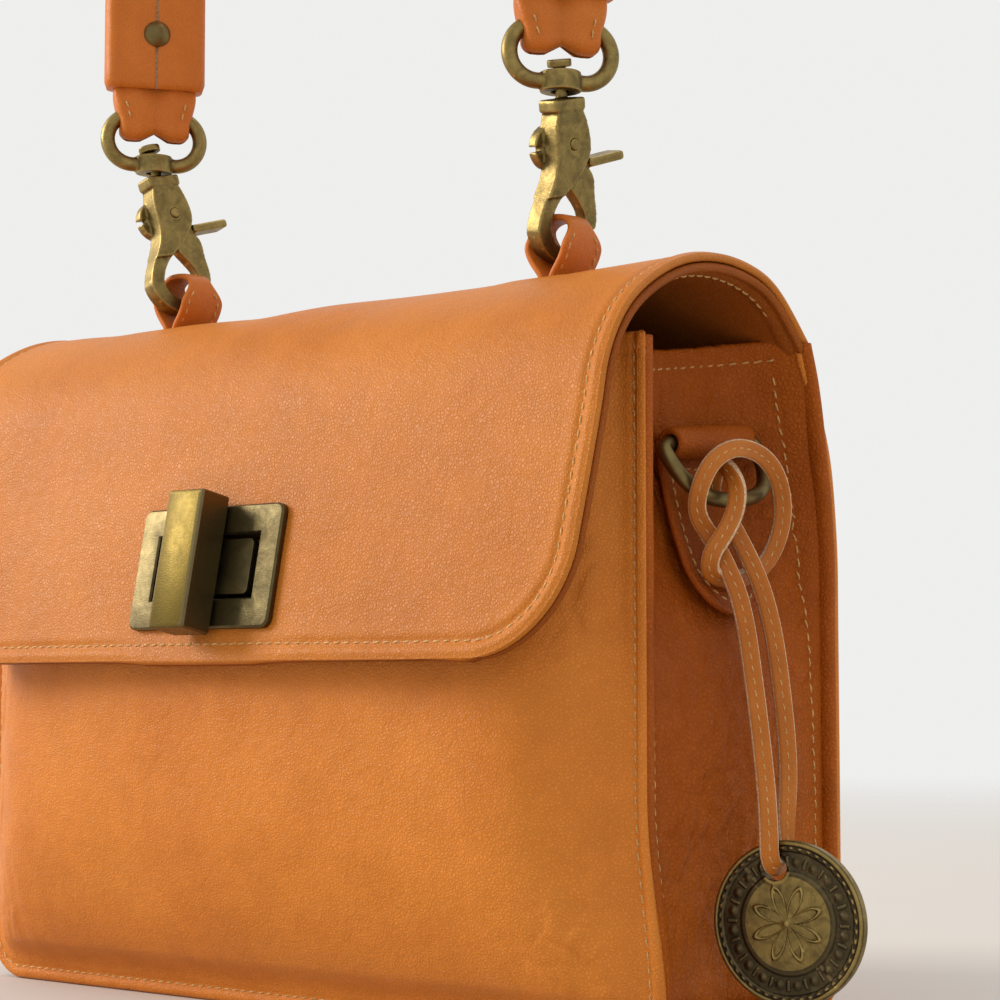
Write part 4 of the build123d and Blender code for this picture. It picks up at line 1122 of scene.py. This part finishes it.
def medallion():
    """Round brass tag: beaded rim, a dark ring of studs and dashes, a rosette, front and back."""
    centre, turn = V(142.5, -13.0, 29.5), radians(8.6)
    ax, up, n = V(cos(turn), sin(turn), 0), V(0, 0, 1), V(sin(turn), -cos(turn), 0)
    hole, hole_r = V(-3.2, 13.0), 3.2
    radii = np.concatenate([np.linspace(0, 12, 40), np.linspace(12, 19.0, 44)[1:], [19.2, 19.38, 19.5]])
    angles = np.linspace(0, 2 * pi, 385)[:-1]
    parts, kinds = [], []
    for face in (1, -1):
        rr, aa = np.meshgrid(radii, angles, indexing="ij")
        h = 1.25 + 0.3 * ease(rr, 18.2, 18.7) - 0.45 * ease(rr, 19.0, 19.5)
        h = h - 0.35 * ease(rr, 11.9, 12.6) * (1 - ease(rr, 16.9, 17.2))
        h = h + 0.18 * np.cos(np.clip(rr / 12, 0, 1) * pi / 2)
        bead = ((aa * 48 / (2 * pi)) % 1) - 0.5
        h = h + 0.34 * np.maximum(0, 1 - (bead / 0.34) ** 2) * hump(rr, 17.75, 0.36)
        dot = ((aa * 20 / (2 * pi)) % 1) - 0.5
        arc = dot * (2 * pi / 20) * rr
        h = h + 0.42 * np.clip(1.25 - np.hypot(arc, rr - 14.6), 0, 1)
        bar = (((aa * 20 / (2 * pi)) + 0.5) % 1) - 0.5
        arc = bar * (2 * pi / 20) * rr
        h = h + 0.3 * (np.abs(arc) < 0.3) * (np.abs(rr - 14.6) < 1.2)
        petal = np.abs(((aa * 8 / (2 * pi)) % 1) - 0.5) * 2
        edge = 7.6 * (1 - petal**1.6) + 1.4
        h = h + 0.5 * hump(rr, edge, 0.42) * (rr > 1.2) + 0.5 * hump(rr, 0, 1.3)
        x, y = rr * np.cos(aa), rr * np.sin(aa)
        d = np.hypot(x - hole[0], y - hole[1])
        h = h + 0.22 * hump(d, hole_r + 0.5, 0.5)
        near = d < hole_r + 0.12
        k = np.where(near, (hole_r + 0.0) / np.maximum(d, 1e-6), 1)
        x, y = hole[0] + (x - hole[0]) * k, hole[1] + (y - hole[1]) * k
        p = centre + ax * x[..., None] + up * y[..., None] + n * (face * h)[..., None]
        nu, nv = rr.shape
        faces, low = [], h < 1.36
        low |= (rr > 11.9) & (rr < 18.3) & (h < 1.5)
        for i in range(nu - 1):
            for j in range(nv):
                j2 = (j + 1) % nv
                if near[i, j] and near[i + 1, j] and near[i, j2] and near[i + 1, j2]:
                    continue
                q = (i * nv + j, (i + 1) * nv + j, (i + 1) * nv + j2, i * nv + j2)
                faces.append(q if face > 0 else q[::-1])
                kinds.append(1 if low[i, j] and rr[i, j] > 11 else 0)
        parts.append((p.reshape(-1, 3), faces))
    steps = len(angles)
    rim = []
    for level in (1.1, 0.7, 0.0, -0.7, -1.1):
        r = 19.5 + 0.06 * (1.2 - abs(level))
        rim += [centre + ax * r * cos(a) + up * r * sin(a) + n * level for a in angles]
    faces = [(i * steps + j, (i + 1) * steps + j, (i + 1) * steps + (j + 1) % steps,
              i * steps + (j + 1) % steps) for i in range(4) for j in range(steps)]
    parts.append((rim, faces))
    wall = []
    for level in (1.45, -1.45):
        wall += [centre + ax * (hole[0] + hole_r * cos(a)) + up * (hole[1] + hole_r * sin(a)) + n * level
                 for a in np.linspace(0, 2 * pi, 49)[:-1]]
    parts.append((wall, [(j, (j + 1) % 48, 48 + (j + 1) % 48, 48 + j) for j in range(48)]))
    verts, faces = joined(*parts)
    kinds += [0] * (len(faces) - len(kinds))
    add_mesh("medallion_brass", verts, faces, [BRASS, PATINA], "medallion", "antique_brass",
             ("medallion",), kinds)


# ---- brass ------------------------------------------------------------------------------------
def from_cad(node, material, voxel=0.0, smooth=4, bevel=0.0):
    """A copy of a CAD solid, with its edges rounded as a casting or a pressing has them."""
    source = frame["nodes"][node]
    data = source.data.copy()
    obj = bpy.data.objects.new(f"{node}_brass", data)
    bpy.context.scene.collection.objects.link(obj)
    data.materials.clear()
    data.materials.append(material)
    weld = obj.modifiers.new("weld", "WELD")
    weld.merge_threshold = 1e-6
    if voxel:
        remesh = obj.modifiers.new("remesh", "REMESH")
        remesh.mode, remesh.voxel_size, remesh.use_smooth_shade = "VOXEL", voxel * MM, True
        relax = obj.modifiers.new("smooth", "SMOOTH")
        relax.factor, relax.iterations = 0.5, smooth
    if bevel:
        edge = obj.modifiers.new("bevel", "BEVEL")
        edge.width, edge.segments, edge.limit_method, edge.angle_limit = bevel * MM, 3, "ANGLE", radians(32)
        edge.harden_normals = False
    bpy.context.view_layer.update()
    done = bpy.data.meshes.new_from_object(obj.evaluated_get(bpy.context.evaluated_depsgraph_get()))
    obj.modifiers.clear()
    obj.data = done
    done.polygons.foreach_set("use_smooth", [True] * len(done.polygons))
    if bevel:
        done.set_sharp_from_angle(angle=radians(50))
    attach(obj, source["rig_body"])
    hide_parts(node)
    return obj


def turn_bar():
    """Turn bar as a worn square block on its post, its sides given the darker plate brass as painted shade."""
    n, up = V(0, -cos(LOCK_TILT), sin(LOCK_TILT)), V(0, sin(LOCK_TILT), cos(LOCK_TILT))
    origin = V(0, LOCK_Y, LOCK_Z)
    half_x, half_v = 6.5, 18.25
    verts, faces = [], []
    for w, k in ((2.4, 0.5), (2.9, 0), (11.5, 0), (12.1, 0.35), (12.4, 0.9)):
        for x, v in ((-half_x + k, -half_v + k), (half_x - k, -half_v + k), (half_x - k, half_v - k),
                     (-half_x + k, half_v - k)):
            for dx, dv in (((0, 0.5), (0.5, 0)) if x * v > 0 else ((0.5, 0), (0, 0.5))):
                verts.append(origin + V(1, 0, 0) * (x - np.sign(x) * dx) + up * (v - np.sign(v) * dv) + n * w)
    faces = [(8 * i + k, 8 * i + (k + 1) % 8, 8 * i + 8 + (k + 1) % 8, 8 * i + 8 + k)
             for i in range(4) for k in range(8)]
    faces += [tuple(range(8))[::-1], tuple(range(32, 40))]
    post = [origin + V(2.4, 0, 0) * cos(2 * pi * k / 24) + up * 2.4 * sin(2 * pi * k / 24) + n * w
            for w in (-3.0, 2.6) for k in range(24)]
    verts, faces = joined((verts, faces), (post, [(k, (k + 1) % 24, 24 + (k + 1) % 24, 24 + k)
                                                  for k in range(24)]))
    # the front and the bevels at its top and foot take the rubbed bar brass; the sides take the plate brass, whose
    # darker patina there is painted shade
    kinds = [0 if k == 33 or 16 <= k < 32 and k % 8 in (1, 5) else 1 for k in range(len(faces))]
    obj = add_mesh("turn_bar_block", verts, faces, [BAR, PLATE], "turn_bar", "antique_brass",
                   ("turn_bar",), kinds)
    obj.data.set_sharp_from_angle(angle=radians(24))
    return obj


def bow_ring(side):
    """D-ring bent from round wire: straight bar, then one even bow."""
    half, stand = RING_HALF, {1: 28.0, -1: 10.0}[side]
    line = [V(0, y, 0) for y in np.linspace(-half + 2.5, half - 2.5, 16)]
    for a in np.linspace(0.03, pi - 0.03, 60):
        line.append(V(0, half * rounded(cos(a), 0.72), -RING_DROP * sin(a) ** 0.8))
    line = np.array(line + line[:1])
    run = np.concatenate([[0], np.cumsum(np.linalg.norm(np.diff(line, axis=0), axis=1))])
    even = np.linspace(0, run[-1], 140)
    line = np.stack([np.interp(even, run, line[:, k]) for k in range(3)], -1)
    for _ in range(5):
        line[1:-1] = (line[:-2] + 2 * line[1:-1] + line[2:]) / 4
        line[0] = line[-1] = (line[1] + line[-2]) / 2
    m = Matrix.Rotation(RING_TILT, 3, "X") @ Matrix.Rotation(radians(-side * stand), 3, "Y")
    pts = np.array([np.array(m @ Vector(p)) for p in line[:-1]]) + RING_AT * V(side, 1, 1)
    count = len(pts)
    t = unit(np.roll(pts, -1, 0) - np.roll(pts, 1, 0))
    flat = np.array(m @ Vector((1, 0, 0)))
    across = unit(np.cross(t, flat))
    verts, faces = [], []
    for i in range(count):
        for k in range(16):
            a = 2 * pi * k / 16
            verts.append(pts[i] + across[i] * 2.0 * cos(a) + flat * 2.0 * sin(a))
    for i in range(count):
        for k in range(16):
            j, l = (i + 1) % count, (k + 1) % 16
            faces.append((i * 16 + k, j * 16 + k, j * 16 + l, i * 16 + l))
    name = NAMES[side]
    add_mesh(f"d_ring_wire_{name}", verts, faces, BRASS_DARK, f"d_ring_{name}", "antique_brass",
             (f"d_ring_{name}",))


def finish_node(node, material):
    """Another material on a CAD node that is shown as it is."""
    slots = frame["nodes"][node].data.materials
    slots.clear()
    slots.append(material)


def brass():
    """Rounded castings for the hooks and rings, bevelled plates for the lock."""
    for side, name in NAMES.items():
        from_cad(f"hook_{name}", BRASS, voxel=0.3, smooth=5)
        from_cad(f"trigger_{name}", BRASS, voxel=0.28, smooth=4)
        from_cad(f"swivel_ring_{name}", BRASS, voxel=0.3, smooth=3)
        from_cad(f"hook_pin_{name}", BRASS, bevel=0.1)
        bow_ring(side)
    from_cad("lock_frame", PLATE, bevel=0.25)
    from_cad("lock_base", PLATE, bevel=0.35)
    turn_bar()
    from_cad("wrap_studs", BRASS_DARK, bevel=0.2)
    for node in ("lock_base_backing", "lock_frame_backing", "lock_frame_screws", "turn_bar_retainer"):
        finish_node(node, BRASS_DARK)
    board = Nodes("fibre_board")
    fibre = board.noise(900, 4, 0.6)
    tone = board.mix((fibre, 0), (0.16, 0.12, 0.08), (0.36, 0.29, 0.2))
    finish_node("base_board", board.finish(tone, 0.85, board.bump((fibre, 0), 0.3, 0.0002)))


def stage():
    """Pale floor, even surroundings and soft lights."""
    data = bpy.data.meshes.new("floor")
    r, count = 9.0, 64
    turns = [2 * pi * k / count for k in range(count)]
    verts = [(0, 0, 0)] + [(r * cos(a), r * sin(a), 0) for a in turns]
    data.from_pydata(verts, [], [(0, 1 + k, 1 + (k + 1) % count) for k in range(count)])
    data.materials.append(studio("floor_paper", (0.61, 0.57, 0.53)))
    floor = bpy.data.objects.new("floor", data)
    bpy.context.scene.collection.objects.link(floor)
    world = bpy.data.worlds.new("surroundings")
    world.use_nodes = True
    world.node_tree.nodes["Background"].inputs["Color"].default_value = (0.86, 0.86, 0.85, 1)
    world.node_tree.nodes["Background"].inputs["Strength"].default_value = 1.0
    bpy.context.scene.world = world
    area_light("key", (-1.45, -1.0, 0.95), (0, 0, 0.12), 0.7, 31, (1.0, 0.95, 0.88))
    area_light("fill", (1.5, -0.55, 0.6), (0.05, 0, 0.12), 1.1, 0.5, (0.97, 0.98, 1.0))
    area_light("top", (-0.1, 0.5, 1.6), (0, 0, 0.1), 1.0, 4, (1, 1, 1))
    bpy.context.scene.view_settings.view_transform = "Standard"


set_camera()
lace()
stage()
front_skin()
side_roll("front_lip_roll", "front_lip", -38.2, -33.4, 169.8)
side_roll("back_lip_roll", "back_lip", 32.6, 36.2, 173.6)
for which in (1, -1):
    side_wall(which)
    loop(which)
    ring_patch(which)
back_skin()
panel_stitches()
bottom()
inside()
flap()
strap_and_wrap()
medallion()
brass()
